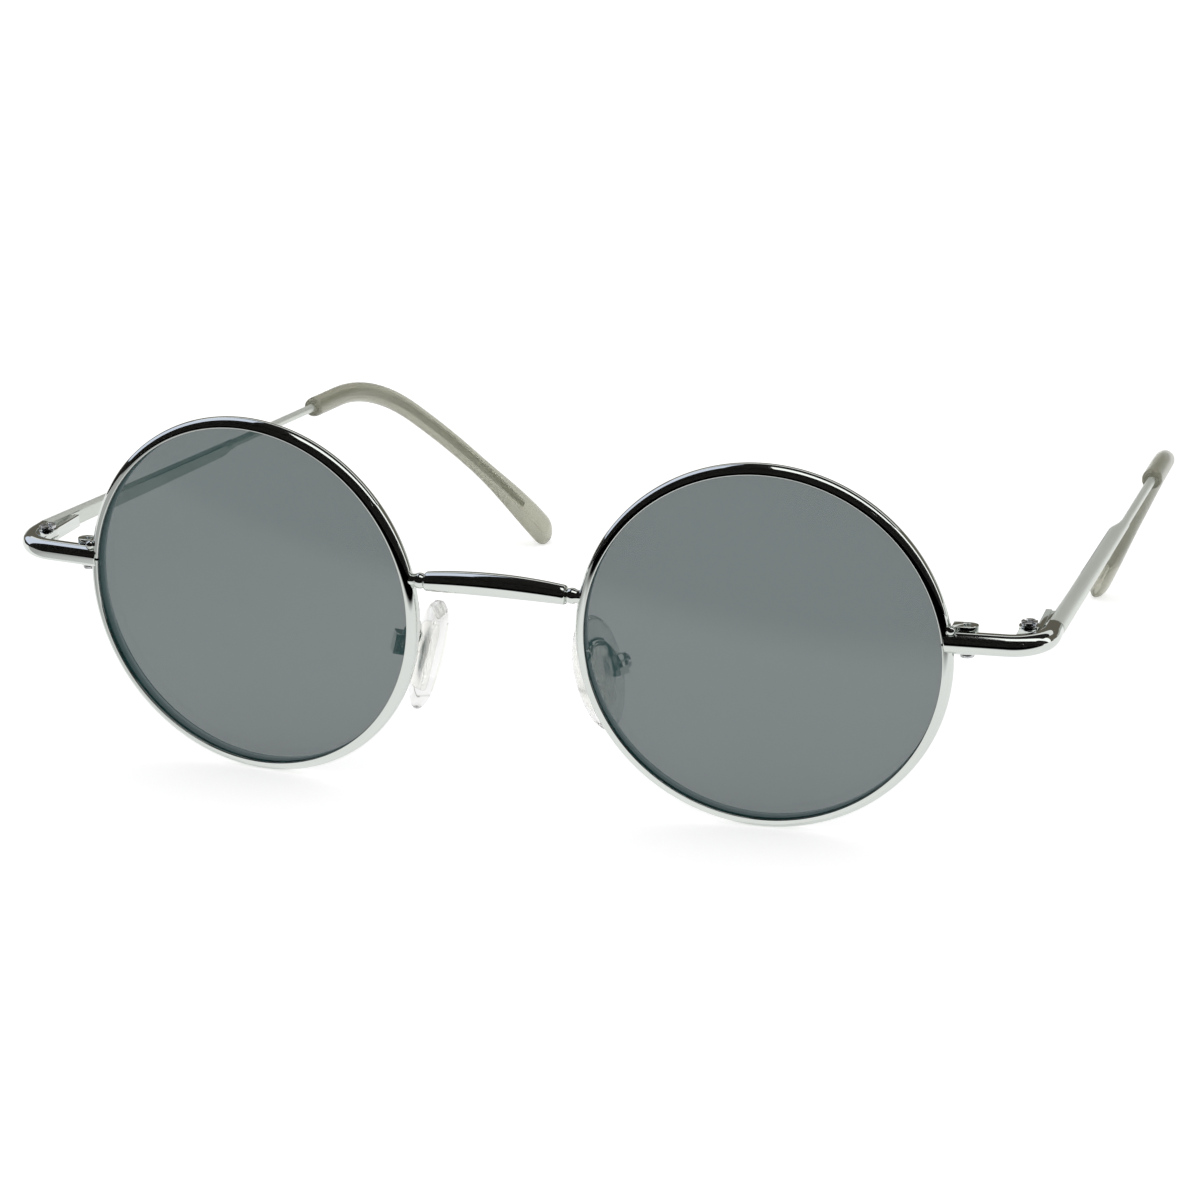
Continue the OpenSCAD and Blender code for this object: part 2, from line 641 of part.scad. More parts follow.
// The core of a pad: an oval-ended plate inside the pad and a drilled tab behind it
module core_shape(extra) {
  for (z = [-1, 1])
    translate([-core_t / 2 - extra, 0, z * (core_h - core_w) / 2]) rotate([0, 90, 0])
      cylinder(d = core_w + 2 * extra, h = core_t + 2 * extra);
  translate([-core_t / 2 - extra, -core_w / 2 - extra, -(core_h - core_w) / 2])
    cube([core_t + 2 * extra, core_w + 2 * extra, core_h - core_w]);
  translate([0, -tab_t / 2 - extra, box_z - tab_r - extra])
    cube([box_x, tab_t + 2 * extra, 2 * (tab_r + extra)]);
}
module pad_core(side) {
  color(clear) place(side) pad_frame()
    difference() {
      union() {
        core_shape(0);
        translate([box_x, 0, box_z]) rotate([90, 0, 0]) translate([0, 0, -tab_t / 2])
          cylinder(r = tab_r, h = tab_t);
      }
      translate([box_x, 0, box_z]) rotate([90, 0, 0]) translate([0, 0, -tab_t])
        cylinder(d = pad_screw_d + 2 * turn_fit, h = 2 * tab_t);
    }
}

// The pad: an egg-shaped cushion, a little wider at its top
pad_sides = 20;
pad_rings = 14;
function pad_point(b, a) =
  let (z = -cos(b), w = sin(b), half_w = pad_w / 2 * pow(w, 0.9) * (1 + 0.1 * z),
       half_t = pad_t / 2 * pow(w, 0.55), n = 2.6)
  [half_t * sign(cos(a)) * pow(abs(cos(a)), 2 / n), half_w * sign(sin(a)) * pow(abs(sin(a)), 2 / n),
   pad_h / 2 * z];
module nose_pad(side) {
  color(clear) place(side) pad_frame()
    difference() {
      skin([for (i = [1:pad_rings - 1]) [for (k = [0:pad_sides - 1])
        pad_point(180 * i / pad_rings, -360 * k / pad_sides)]]);
      core_shape(seam);
    }
}

module pad_screw(side) {
  color(steel) place(side) pad_frame() translate([box_x, box_half_y + seam, box_z]) rotate([-90, 0, 0])
    slotted_screw(pad_screw_d, 2 * box_half_y, pad_head_d, pad_head_t);
}

rim("right");  // rim_right
rim("left");  // rim_left
lens("right");  // lens_right
lens("left");  // lens_left
bridge();
end_piece("right");  // end_piece_right
end_piece("left");  // end_piece_left
closing_block_upper("right");  // closing_block_upper_right
closing_block_upper("left");  // closing_block_upper_left
closing_block_lower("right");  // closing_block_lower_right
closing_block_lower("left");  // closing_block_lower_left
closing_screw("right");  // closing_screw_right
closing_screw("left");  // closing_screw_left
front_hinge("right");  // front_hinge_right
front_hinge("left");  // front_hinge_left
temple_hinge("right");  // temple_hinge_right
temple_hinge("left");  // temple_hinge_left
hinge_screw("right");  // hinge_screw_right
hinge_screw("left");  // hinge_screw_left
temple("right");  // temple_right
temple("left");  // temple_left
ear_sleeve("right");  // ear_sleeve_right
ear_sleeve("left");  // ear_sleeve_left
pad_arm("right");  // pad_arm_right
pad_arm("left");  // pad_arm_left
pad_box("right");  // pad_box_right
pad_box("left");  // pad_box_left
nose_pad("right");  // nose_pad_right
nose_pad("left");  // nose_pad_left
pad_core("right");  // pad_core_right
pad_core("left");  // pad_core_left
pad_screw("right");  // pad_screw_right
pad_screw("left");  // pad_screw_left
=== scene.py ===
"""Looks for the round metal-frame sunglasses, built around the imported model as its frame."""

import json
from math import acos, asin, atan2, cos, exp, hypot, pi, radians, sin, sqrt, tau

import bpy
from bpy.props import FloatProperty, FloatVectorProperty, PointerProperty
from mathutils import Matrix, Vector

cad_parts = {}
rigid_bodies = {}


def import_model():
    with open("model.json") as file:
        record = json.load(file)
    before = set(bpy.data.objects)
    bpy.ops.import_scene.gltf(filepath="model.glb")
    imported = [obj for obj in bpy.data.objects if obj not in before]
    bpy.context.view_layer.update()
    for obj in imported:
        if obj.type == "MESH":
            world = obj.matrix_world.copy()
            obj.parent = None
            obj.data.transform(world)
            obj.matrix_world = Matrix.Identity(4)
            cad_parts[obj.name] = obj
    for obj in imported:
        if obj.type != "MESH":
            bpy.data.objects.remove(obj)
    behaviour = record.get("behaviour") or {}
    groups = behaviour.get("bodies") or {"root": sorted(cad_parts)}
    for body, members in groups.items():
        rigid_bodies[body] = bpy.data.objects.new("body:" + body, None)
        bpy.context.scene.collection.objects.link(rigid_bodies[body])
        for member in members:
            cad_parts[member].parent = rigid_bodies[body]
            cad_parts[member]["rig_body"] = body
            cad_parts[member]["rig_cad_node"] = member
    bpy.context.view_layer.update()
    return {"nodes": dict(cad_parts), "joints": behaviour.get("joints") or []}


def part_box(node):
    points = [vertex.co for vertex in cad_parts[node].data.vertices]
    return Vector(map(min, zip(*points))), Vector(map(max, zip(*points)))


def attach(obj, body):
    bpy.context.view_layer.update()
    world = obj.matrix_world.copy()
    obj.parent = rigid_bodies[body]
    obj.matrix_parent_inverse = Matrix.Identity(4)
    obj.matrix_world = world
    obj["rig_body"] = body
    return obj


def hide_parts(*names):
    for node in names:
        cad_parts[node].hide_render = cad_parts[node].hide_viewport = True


bl_info = {
    "name": "Round Sunglasses",
    "version": (1, 0, 0),
    "blender": (4, 5, 0),
    "location": "View3D > Sidebar > Sunglasses",
    "description": "Builds round metal-frame sunglasses with folding temples",
    "category": "Object",
}

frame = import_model()

MM = 0.001
MERGE_DISTANCE = 0.001 * MM


def joint(name):
    return next(j for j in frame["joints"] if j["name"] == name)


FOLD = joint("temple_fold_right")
PAD_JOINT = joint("pad_rock_right")
RIM_LOW, RIM_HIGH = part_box("rim_right")
LENS_MIDDLE = (RIM_LOW + RIM_HIGH) / 2
# The angle at which the front leans forward when the frame stands on its rims and ear ends
LEAN_FORWARD = atan2(-FOLD["axis"][1], FOLD["axis"][2])


def shift(x, y, z):
    return Matrix.Translation((x, y, z))


def turn(angle, axis):
    return Matrix.Rotation(angle, 4, axis)


def steps_between(low, high, count):
    return [low + (high - low) * i / count for i in range(1, count + 1)]


def eased(share):
    share = max(0, min(1, share))
    return share * share * (3 - 2 * share)


def blend_of(a, b, share):
    return a + (b - a) * share


# Sizes and colours that a user would change


class FrontSizes(bpy.types.PropertyGroup):
    lens_width: FloatProperty(
        name="Lens Width", description="Width of each visible round lens", default=42 * MM, unit="LENGTH")
    lens_thickness: FloatProperty(
        name="Lens Thickness", description="Thickness of each lens", default=1.8 * MM, unit="LENGTH")
    dome_radius: FloatProperty(
        name="Dome Radius", description="Radius of the domed front of each lens", default=130 * MM,
        unit="LENGTH")
    face_wrap: FloatProperty(
        name="Face Wrap", description="Angle by which each lens turns back towards its temple",
        default=radians(5.2), subtype="ANGLE")
    rim_width: FloatProperty(
        name="Rim Width", description="Width of the rim wire from its flat inside", default=1.2 * MM,
        unit="LENGTH")
    rim_depth: FloatProperty(
        name="Rim Depth", description="Diameter of the round rim wire", default=2.2 * MM, unit="LENGTH")
    rim_edge: FloatProperty(
        name="Rim Edge", description="Radius of the inner edges of the rim wire", default=0.12 * MM,
        unit="LENGTH")
    groove: FloatProperty(
        name="Groove", description="Depth of the groove for the lens edge", default=0.4 * MM, unit="LENGTH")
    split_gap: FloatProperty(
        name="Split Gap", description="Gap at which the rim is split", default=0.3 * MM, unit="LENGTH")
    bridge_width: FloatProperty(
        name="Bridge Width", description="Diameter of the bridge bar at its middle", default=2.8 * MM,
        unit="LENGTH")
    bridge_end_width: FloatProperty(
        name="Bridge End Width", description="Diameter of the bridge bar at its ends", default=2.3 * MM,
        unit="LENGTH")
    bridge_height: FloatProperty(
        name="Bridge Height", description="Height of the bridge ends above the lens centres",
        default=4.7 * MM, unit="LENGTH")
    bridge_rise: FloatProperty(
        name="Bridge Rise", description="Rise of the bridge at its middle", default=0.35 * MM,
        unit="LENGTH")
    neck_width: FloatProperty(
        name="Neck Width", description="Diameter of the bridge's necks", default=1.5 * MM, unit="LENGTH")
    neck_length: FloatProperty(
        name="Neck Length", description="Length of the bridge's necks", default=1.4 * MM, unit="LENGTH")


class EndPieceSizes(bpy.types.PropertyGroup):
    height: FloatProperty(
        name="Height", description="Height of the half-round end piece", default=2.5 * MM, unit="LENGTH")
    depth: FloatProperty(
        name="Depth", description="Depth of the half-round end piece", default=1.8 * MM, unit="LENGTH")
    level: FloatProperty(
        name="Level", description="Height of the end pieces above the lens centres",
        default=2.2 * MM, unit="LENGTH")
    ahead: FloatProperty(
        name="Ahead", description="Distance of the end piece in front of the lens plane",
        default=0.55 * MM, unit="LENGTH")
    reach: FloatProperty(
        name="Reach", description="Distance from the lens centre to the corner", default=28.2 * MM,
        unit="LENGTH")
    corner_radius: FloatProperty(
        name="Corner Radius", description="Radius of the corner", default=4.7 * MM, unit="LENGTH")
    rear_length: FloatProperty(
        name="Rear Length", description="Length of the end piece behind its corner",
        default=1.8 * MM, unit="LENGTH")
    bead_radius: FloatProperty(
        name="Bead Radius", description="Radius of the solder bead on the rim", default=0.6 * MM,
        unit="LENGTH")


class TempleSizes(bpy.types.PropertyGroup):
    splay: FloatProperty(
        name="Splay", description="Angle by which each open temple leans in", default=radians(4.6),
        subtype="ANGLE")
    drop: FloatProperty(
        name="Drop", description="Angle by which each temple slopes down", default=radians(4.4),
        subtype="ANGLE")
    bar_side: FloatProperty(
        name="Bar Side", description="Distance of the bar from the hinge axis", default=2.6 * MM,
        unit="LENGTH")
    bar_start: FloatProperty(
        name="Bar Start", description="Distance of the bar's end behind the hinge axis",
        default=2.86 * MM, unit="LENGTH")
    bar_height: FloatProperty(
        name="Bar Height", description="Height of the bar at the hinge", default=2.4 * MM, unit="LENGTH")
    bar_end_height: FloatProperty(
        name="Bar End Height", description="Height of the bar at its rear", default=1.6 * MM,
        unit="LENGTH")
    bar_depth: FloatProperty(
        name="Bar Thickness", description="Thickness of the bar", default=1.8 * MM, unit="LENGTH")
    bar_length: FloatProperty(
        name="Bar Length", description="Length of the wide bar", default=43 * MM, unit="LENGTH")
    taper_length: FloatProperty(
        name="Taper Length", description="Length over which the bar narrows", default=5 * MM,
        unit="LENGTH")
    wire_width: FloatProperty(
        name="Wire Width", description="Diameter of the temple wire", default=1.1 * MM, unit="LENGTH")
    straight_length: FloatProperty(
        name="Straight Length", description="Length up to the ear bend", default=78 * MM, unit="LENGTH")
    ear_radius: FloatProperty(
        name="Ear Radius", description="Radius of the ear bend", default=27 * MM, unit="LENGTH")
    ear_angle: FloatProperty(
        name="Ear Angle", description="Angle of the ear bend", default=radians(40), subtype="ANGLE")
    tail_length: FloatProperty(
        name="Tail Length", description="Length of the curved tail", default=32 * MM, unit="LENGTH")
    tail_angle: FloatProperty(
        name="Tail Angle", description="Angle through which the tail curves", default=radians(16),
        subtype="ANGLE")
    ear_lean: FloatProperty(
        name="Ear Lean", description="Angle by which the ear bend leans in", default=radians(26),
        subtype="ANGLE")
    sleeve_start: FloatProperty(
        name="Sleeve Start", description="Distance to the front of the sleeve", default=70.5 * MM,
        unit="LENGTH")
    sleeve_width: FloatProperty(
        name="Sleeve Width", description="Diameter of the sleeve at its front", default=2.7 * MM,
        unit="LENGTH")
    sleeve_tail: FloatProperty(
        name="Sleeve Tail", description="Thickness of the sleeve in the tail", default=2.2 * MM,
        unit="LENGTH")
    paddle_depth: FloatProperty(
        name="Paddle Thickness", description="Thickness of the sleeve's end", default=2.6 * MM,
        unit="LENGTH")
    paddle_width: FloatProperty(
        name="Paddle Width", description="Width of the sleeve's end", default=5.4 * MM, unit="LENGTH")
    sleeve_over: FloatProperty(
        name="Sleeve Over", description="Length of the sleeve behind the curved tail",
        default=2 * MM, unit="LENGTH")
    sleeve_cap: FloatProperty(
        name="Sleeve Cap", description="Length of the sleeve behind the end of the wire",
        default=8 * MM, unit="LENGTH")


class PadSizes(bpy.types.PropertyGroup):
    height: FloatProperty(
        name="Height", description="Height of each nose pad", default=13.8 * MM, unit="LENGTH")
    width: FloatProperty(
        name="Width", description="Width of each nose pad", default=6.6 * MM, unit="LENGTH")
    thickness: FloatProperty(
        name="Thickness", description="Thickness of each nose pad", default=3 * MM, unit="LENGTH")
    side: FloatProperty(
        name="Side", description="Distance of each pad from the middle", default=10.8 * MM,
        unit="LENGTH")
    behind: FloatProperty(
        name="Behind", description="Distance of each pad behind the lens centres", default=2.7 * MM,
        unit="LENGTH")
    below: FloatProperty(
        name="Below", description="Distance of each pad below the lens centres", default=6.4 * MM,
        unit="LENGTH")
    splay: FloatProperty(
        name="Splay", description="Angle by which the pads spread to the back", default=radians(30),
        subtype="ANGLE")
    tilt: FloatProperty(
        name="Tilt", description="Angle by which the pads spread to the bottom", default=radians(15),
        subtype="ANGLE")
    arm_width: FloatProperty(
        name="Arm Width", description="Diameter of the pad arm's wire", default=1.1 * MM, unit="LENGTH")


class FinishColours(bpy.types.PropertyGroup):
    chrome: FloatVectorProperty(
        name="Chrome", description="Colour of the plating", default=(0.66, 0.69, 0.66), subtype="COLOR")
    temple: FloatVectorProperty(
        name="Temple", description="Colour of the temples", default=(0.76, 0.8, 0.74), subtype="COLOR")
    screw: FloatVectorProperty(
        name="Screw", description="Colour of the screws", default=(0.55, 0.56, 0.57), subtype="COLOR")
    lens: FloatVectorProperty(
        name="Lens", description="Colour of the lens tint", default=(0.003, 0.062, 0.064), subtype="COLOR")
    lens_edge: FloatVectorProperty(
        name="Lens Edge", description="Colour of the ground edge of the lenses", default=(0.84, 0.92, 0.97),
        subtype="COLOR")
    sleeve: FloatVectorProperty(
        name="Sleeve", description="Colour of the ear sleeves", default=(0.56, 0.56, 0.46),
        subtype="COLOR")
    pad: FloatVectorProperty(
        name="Pad", description="Colour of the clear nose pads", default=(0.98, 0.985, 0.97),
        subtype="COLOR")
    core: FloatVectorProperty(
        name="Core", description="Colour of the pads' hard cores", default=(0.98, 0.95, 0.87),
        subtype="COLOR")


class StageSettings(bpy.types.PropertyGroup):
    lens_length: FloatProperty(
        name="Focal Length", description="Focal length of the camera in millimetres", default=132)
    sky_level: FloatProperty(
        name="Sky Level", description="Strength of the soft light all round", default=0.8)


def front_sizes():
    return bpy.context.scene.front_sizes


def end_sizes():
    return bpy.context.scene.end_piece_sizes


def temple_sizes():
    return bpy.context.scene.temple_sizes


def pad_sizes():
    return bpy.context.scene.pad_sizes


def colours():
    return bpy.context.scene.finish_colours


# Frames of the pieces on the right side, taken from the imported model


def front_frame():
    return shift(0, LENS_MIDDLE.y, LENS_MIDDLE.z) @ turn(LEAN_FORWARD, "X")


def lens_frame():
    return front_frame() @ shift(LENS_MIDDLE.x, 0, 0) @ turn(front_sizes().face_wrap, "Z")


def hinge_frame():
    return shift(*FOLD["pos_m"]) @ turn(LEAN_FORWARD, "X") @ turn(temple_sizes().splay, "Z")


def bar_frame():
    t = temple_sizes()
    return hinge_frame() @ shift(t.bar_side, t.bar_start, 0) @ turn(-t.drop, "X")


def pad_turn():
    p = pad_sizes()
    return turn(-p.splay, "Z") @ turn(-p.tilt, "Y")


def pad_frame():
    p = pad_sizes()
    return front_frame() @ shift(p.side, p.behind, -p.below) @ pad_turn()


# Modelling, as by hand


def deselect():
    active = bpy.context.view_layer.objects.active
    if active is not None and active.mode != "OBJECT":
        bpy.ops.object.mode_set(mode="OBJECT")
    bpy.ops.object.select_all(action="DESELECT")


def pick(piece):
    """Selects one piece alone, in object mode."""
    deselect()
    piece.select_set(True)
    bpy.context.view_layer.objects.active = piece


def select_everything():
    bpy.ops.mesh.select_all(action="SELECT")


def settle(piece, place):
    """Moves the picked piece to its place, which is then held in its mesh."""
    piece.matrix_world = place
    bpy.ops.object.transform_apply(location=True, rotation=True, scale=True)


def smooth(angle):
    """Shades the picked piece smooth, but not over edges sharper than the angle, in degrees."""
    bpy.ops.object.shade_smooth_by_angle(angle=radians(angle))


def apply_modifier(piece, name, kind, settings):
    pick(piece)
    modifier = piece.modifiers.new(name, kind)
    for key, value in settings.items():
        setattr(modifier, key, value)
    bpy.ops.object.modifier_apply(modifier=name)


def begin(name):
    """Starts an empty piece and stays in edit mode, where primitives are added to it."""
    deselect()
    bpy.ops.mesh.primitive_circle_add(vertices=3, radius=MM)
    piece = bpy.context.object
    piece.name = piece.data.name = name
    bpy.ops.object.mode_set(mode="EDIT")
    bpy.ops.mesh.select_mode(type="VERT")
    bpy.ops.mesh.delete(type="VERT")
    return piece


def close_up(piece, place, smooth_angle=40):
    """Merges doubles, turns the faces outwards and puts the mesh in its place, its object at the origin."""
    select_everything()
    bpy.ops.mesh.remove_doubles(threshold=MERGE_DISTANCE)
    bpy.ops.mesh.normals_make_consistent(inside=False)
    pick(piece)
    settle(piece, place)
    smooth(smooth_angle)
    return piece


def trace(points):
    """One vertex, extruded along the points in turn. Where the last point is the first, the line closes."""
    points = [Vector(p) for p in points]
    bpy.ops.mesh.primitive_circle_add(vertices=3, radius=MM, location=points[0])
    bpy.ops.mesh.merge(type="CENTER")
    for here, there in zip(points, points[1:]):
        bpy.ops.mesh.extrude_region_move(TRANSFORM_OT_translate={"value": there - here})
    if points[0] == points[-1]:
        select_everything()
        bpy.ops.mesh.remove_doubles(threshold=MERGE_DISTANCE)


def spin_all(steps, angle):
    """Turns everything about the lens axis of its own frame."""
    select_everything()
    bpy.ops.mesh.spin(steps=steps, angle=angle, center=(0, 0, 0), axis=(0, 1, 0))


def fill_ends():
    """Closes the open ends of a tube."""
    bpy.ops.mesh.select_all(action="DESELECT")
    bpy.ops.mesh.select_non_manifold()
    bpy.ops.mesh.fill_holes(sides=0)


def add_ring(place, across, up, sides):
    """A ring of a half width and a half height, flat in its place."""
    spot = place.to_translation()
    bpy.ops.mesh.primitive_circle_add(
        vertices=sides, radius=across, location=spot, rotation=place.to_euler())
    bpy.ops.transform.resize(
        value=(1, up / across, 1), orient_type="LOCAL", orient_matrix=place.to_3x3(),
        orient_matrix_type="LOCAL", center_override=spot)


def loft(name, rings, sides, place, smooth_angle=40):
    """Rings, each with its place, half width and half height, bridged into one tube with closed ends."""
    piece = begin(name)
    for ring_place, across, up in rings:
        add_ring(ring_place, across, up, sides)
    select_everything()
    bpy.ops.mesh.bridge_edge_loops()
    fill_ends()
    return close_up(piece, place, smooth_angle)


def cut(piece, cutter):
    """Takes the cutter's shape out of the piece and removes the cutter."""
    apply_modifier(piece, "Cut", "BOOLEAN", {"operation": "DIFFERENCE", "object": cutter})
    bpy.data.objects.remove(cutter)


def soften(piece, width, segments=3, angle=35):
    """Rounds the edges that are sharper than the angle, in degrees."""
    apply_modifier(piece, "Soft Edges", "BEVEL", {
        "width": width, "segments": segments, "limit_method": "ANGLE",
        "angle_limit": radians(angle), "use_clamp_overlap": True})
    smooth(angle)


def join_to(piece):
    """Joins the selected piece to another one."""
    piece.select_set(True)
    bpy.context.view_layer.objects.active = piece
    bpy.ops.object.join()


def mirrored(piece, name):
    """The same piece on the left side, with its own mesh."""
    pick(piece)
    bpy.ops.object.duplicate()
    copy = bpy.context.object
    copy.name = copy.data.name = name
    copy.scale.x = -1
    bpy.ops.object.transform_apply(location=True, rotation=True, scale=True)
    bpy.ops.object.mode_set(mode="EDIT")
    select_everything()
    bpy.ops.mesh.normals_make_consistent(inside=False)
    deselect()
    return copy


def refined(node, edge):
    """A copy of a small machined node, with its flats merged and its edges softened."""
    pick(frame["nodes"][node])
    bpy.ops.object.duplicate()
    piece = bpy.context.object
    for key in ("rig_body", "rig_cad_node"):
        if key in piece:
            del piece[key]
    piece.parent = None
    piece.name = piece.data.name = "fine_" + node
    piece.data.materials.clear()
    bpy.ops.object.mode_set(mode="EDIT")
    select_everything()
    bpy.ops.mesh.remove_doubles(threshold=MERGE_DISTANCE)
    bpy.ops.mesh.dissolve_limited(angle_limit=radians(1))
    bpy.ops.mesh.normals_make_consistent(inside=False)
    deselect()
    soften(piece, edge, segments=2)
    return piece


def dress(piece, node, body, slot):
    """Gives a piece its finish and its body, and hides the node that it stands for."""
    piece.data.materials.clear()
    piece.data.materials.append(finish_of(slot))
    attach(piece, body)
    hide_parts(node)


# Shader maths


class Sock:
    """A socket that takes part in sums. Each operation adds one Math node."""

    def __init__(self, graph, socket):
        self.graph = graph
        self.socket = socket

    def _math(self, operation, *values):
        return self.graph.add("ShaderNodeMath", {"operation": operation}, dict(enumerate(values)))

    def __add__(self, other):
        return self._math("ADD", self, other)

    def __radd__(self, other):
        return self._math("ADD", other, self)

    def __sub__(self, other):
        return self._math("SUBTRACT", self, other)

    def __rsub__(self, other):
        return self._math("SUBTRACT", other, self)

    def __mul__(self, other):
        return self._math("MULTIPLY", self, other)

    def __rmul__(self, other):
        return self._math("MULTIPLY", other, self)

    def __truediv__(self, other):
        return self._math("DIVIDE", self, other)

    def __rtruediv__(self, other):
        return self._math("DIVIDE", other, self)

    def clamp(self):
        return self.graph.add("ShaderNodeClamp", {}, {"Value": self})


# Places of the colour sockets on a Mix node
MIX_FIRST = 6
MIX_SECOND = 7
MIX_RESULT = 2


class Graph:
    """The node tree of a material or a world, with one method that adds a node."""

    def __init__(self, owner):
        self.owner = owner
        owner.use_nodes = True
        self.tree = owner.node_tree
        self.tree.nodes.clear()

    def add(self, kind, settings, values, output=0):
        node = self.tree.nodes.new(kind)
        for name, value in settings.items():
            setattr(node, name, value)
        for name, value in values.items():
            if isinstance(value, Sock):
                self.tree.links.new(value.socket, node.inputs[name])
            else:
                node.inputs[name].default_value = value
        return Sock(self, node.outputs[output])

    def spot(self):
        return self.add("ShaderNodeTexCoord", {}, {}, "Object")

    def noise(self, scale, detail=2, stretch=(1, 1, 1)):
        place = self.add("ShaderNodeMapping", {}, {"Vector": self.spot(), "Scale": stretch})
        return self.add("ShaderNodeTexNoise", {}, {
            "Vector": place, "Scale": scale, "Detail": detail}, "Fac")

    def mix(self, factor, first, second):
        return self.add("ShaderNodeMix", {"data_type": "RGBA"}, {
            "Factor": factor, MIX_FIRST: first, MIX_SECOND: second}, MIX_RESULT)

    def bump(self, height, strength, distance):
        return self.add("ShaderNodeBump", {}, {
            "Height": height, "Strength": strength, "Distance": distance}, "Normal")

    def rays(self):
        """Whether a ray comes from the camera, off a gloss or through something clear."""
        kinds = ("Is Camera Ray", "Is Glossy Ray", "Is Transmission Ray")
        return [self.add("ShaderNodeLightPath", {}, {}, kind) for kind in kinds]

    def finish(self, values):
        """Ends the finish in a Principled shader."""
        return self.add_output(self.add("ShaderNodeBsdfPrincipled", {}, values))

    def add_output(self, shader, kind="ShaderNodeOutputMaterial"):
        out = self.tree.nodes.new(kind)
        self.tree.links.new(shader.socket, out.inputs["Surface"])
        return self.owner


def rgba(colour):
    return (colour[0], colour[1], colour[2], 1)


def tinted(graph, colour, factor, low, high):
    """The colour, darker or lighter by the factor between two levels."""
    dark = tuple(c * low for c in colour)
    light = tuple(min(1, c * high) for c in colour)
    return graph.mix(factor, rgba(dark), rgba(light))


def new_finish(name):
    return Graph(bpy.data.materials.new(name))


def chrome_plating():
    """Polished plating: bright, with the faint waves of hand polishing."""
    graph = new_finish("chrome_plating")
    waves = graph.noise(260, detail=1)
    film = graph.noise(90, detail=3)
    return graph.finish({
        "Base Color": tinted(graph, colours().chrome, film, 0.94, 1.04),
        "Metallic": 1.0,
        "Roughness": 0.03 + film * 0.05,
        "Normal": graph.bump(waves, 0.12, 0.05 * MM),
    })


def satin_metal():
    """The temples' softer finish, drawn lengthwise."""
    graph = new_finish("satin_metal")
    drawn = graph.noise(900, stretch=(1, 0.04, 1))
    film = graph.noise(70, detail=3)
    return graph.finish({
        "Base Color": tinted(graph, colours().temple, film, 0.94, 1.05),
        "Metallic": 0.5,
        "Roughness": 0.32 + drawn * 0.1,
        "Normal": graph.bump(drawn, 0.1, 0.02 * MM),
    })


def screw_steel():
    """Small turned screws, with the marks of the tool."""
    graph = new_finish("screw_steel")
    marks = graph.noise(1800)
    return graph.finish({
        "Base Color": tinted(graph, colours().screw, marks, 0.85, 1.1),
        "Metallic": 1.0,
        "Roughness": 0.14 + marks * 0.12,
        "Normal": graph.bump(marks, 0.2, 0.02 * MM),
    })


def lens_tint():
    """Grey lens, see-through and glossy on both faces. Its ground edge is matt, near-black at the front as
    painted shade of the rim's groove, and pales to the edge's own colour towards the back.
    """
    graph = new_finish("lens_tint")
    haze = graph.noise(40)
    ground = graph.add("ShaderNodeAttribute", {"attribute_name": "ground"}, {}, "Fac")
    depth = graph.add("ShaderNodeAttribute", {"attribute_name": "edge_depth"}, {}, "Fac")
    pale_from = 0.38
    pale_over = 0.6
    tint_alpha = 0.6
    # Painted shade: the front of the ground edge is near-black for the shadow in the rim's groove, fading
    # to the edge colour towards the back
    painted_groove_shade = (0.01, 0.01, 0.01)
    pale = ((depth - pale_from) / pale_over).clamp()
    edge = graph.mix(pale, rgba(painted_groove_shade), rgba(colours().lens_edge))
    return graph.finish({
        "Base Color": graph.mix(ground, rgba(colours().lens), edge),
        "Roughness": 0.01 + haze * 0.015 + ground * 0.5,
        "IOR": 1.5,
        "Alpha": tint_alpha + ground * (1 - tint_alpha),
    })


def smoky_plastic():
    """The sleeves' smoky plastic, see-through enough to show the wire inside."""
    graph = new_finish("smoky_plastic")
    flow = graph.noise(160, detail=3)
    return graph.finish({
        "Base Color": tinted(graph, colours().sleeve, flow, 0.92, 1.06),
        "Roughness": 0.16 + flow * 0.08,
        "IOR": 1.48,
        "Transmission Weight": 0.75,
        "Normal": graph.bump(flow, 0.1, 0.05 * MM),
    })


def clear_silicone():
    """The soft cushions of the nose pads."""
    graph = new_finish("clear_silicone")
    skin = graph.noise(700)
    return graph.finish({
        "Base Color": tinted(graph, colours().pad, skin, 0.97, 1.03),
        "Roughness": 0.05 + skin * 0.07,
        "IOR": 1.41,
        "Transmission Weight": 0.95,
        "Normal": graph.bump(skin, 0.08, 0.03 * MM),
    })


def hard_core():
    """The embedded plate. Its IOR is against the soft clear plastic round it, so it hardly shows."""
    graph = new_finish("hard_core")
    flow = graph.noise(400)
    return graph.finish({
        "Base Color": tinted(graph, colours().core, flow, 0.9, 1.05),
        "Roughness": 0.1 + flow * 0.06,
        "IOR": 1.06,
        "Transmission Weight": 1.0,
        "Alpha": 0.4,
    })


MAKERS = {
    "chrome": chrome_plating,
    "satin_metal": satin_metal,
    "steel": screw_steel,
    "lens": lens_tint,
    "sleeve": smoky_plastic,
    "silicone": clear_silicone,
    "core": hard_core,
}
MADE = {}


def finish_of(slot):
    """Each finish is made once."""
    if slot not in MADE:
        MADE[slot] = MAKERS[slot]()
    return MADE[slot]


def dress_pair(right_piece, right_node, body, slot):
    """Dresses a right piece and its mirrored partner. The body's name may hold the side."""
    left_piece = mirrored(right_piece, right_piece.name.replace("_right", "_left"))
    dress(right_piece, right_node, body.format("right"), slot)
    dress(left_piece, right_node.replace("_right", "_left"), body.format("left"), slot)


def dress_refined(rows):
    """Refines and dresses the small nodes of both sides: base name, body, finish and edge width."""
    for base, body, slot, edge in rows:
        for side in ("right", "left"):
            node = base + "_" + side
            dress(refined(node, edge), node, body.format(side), slot)


# The front


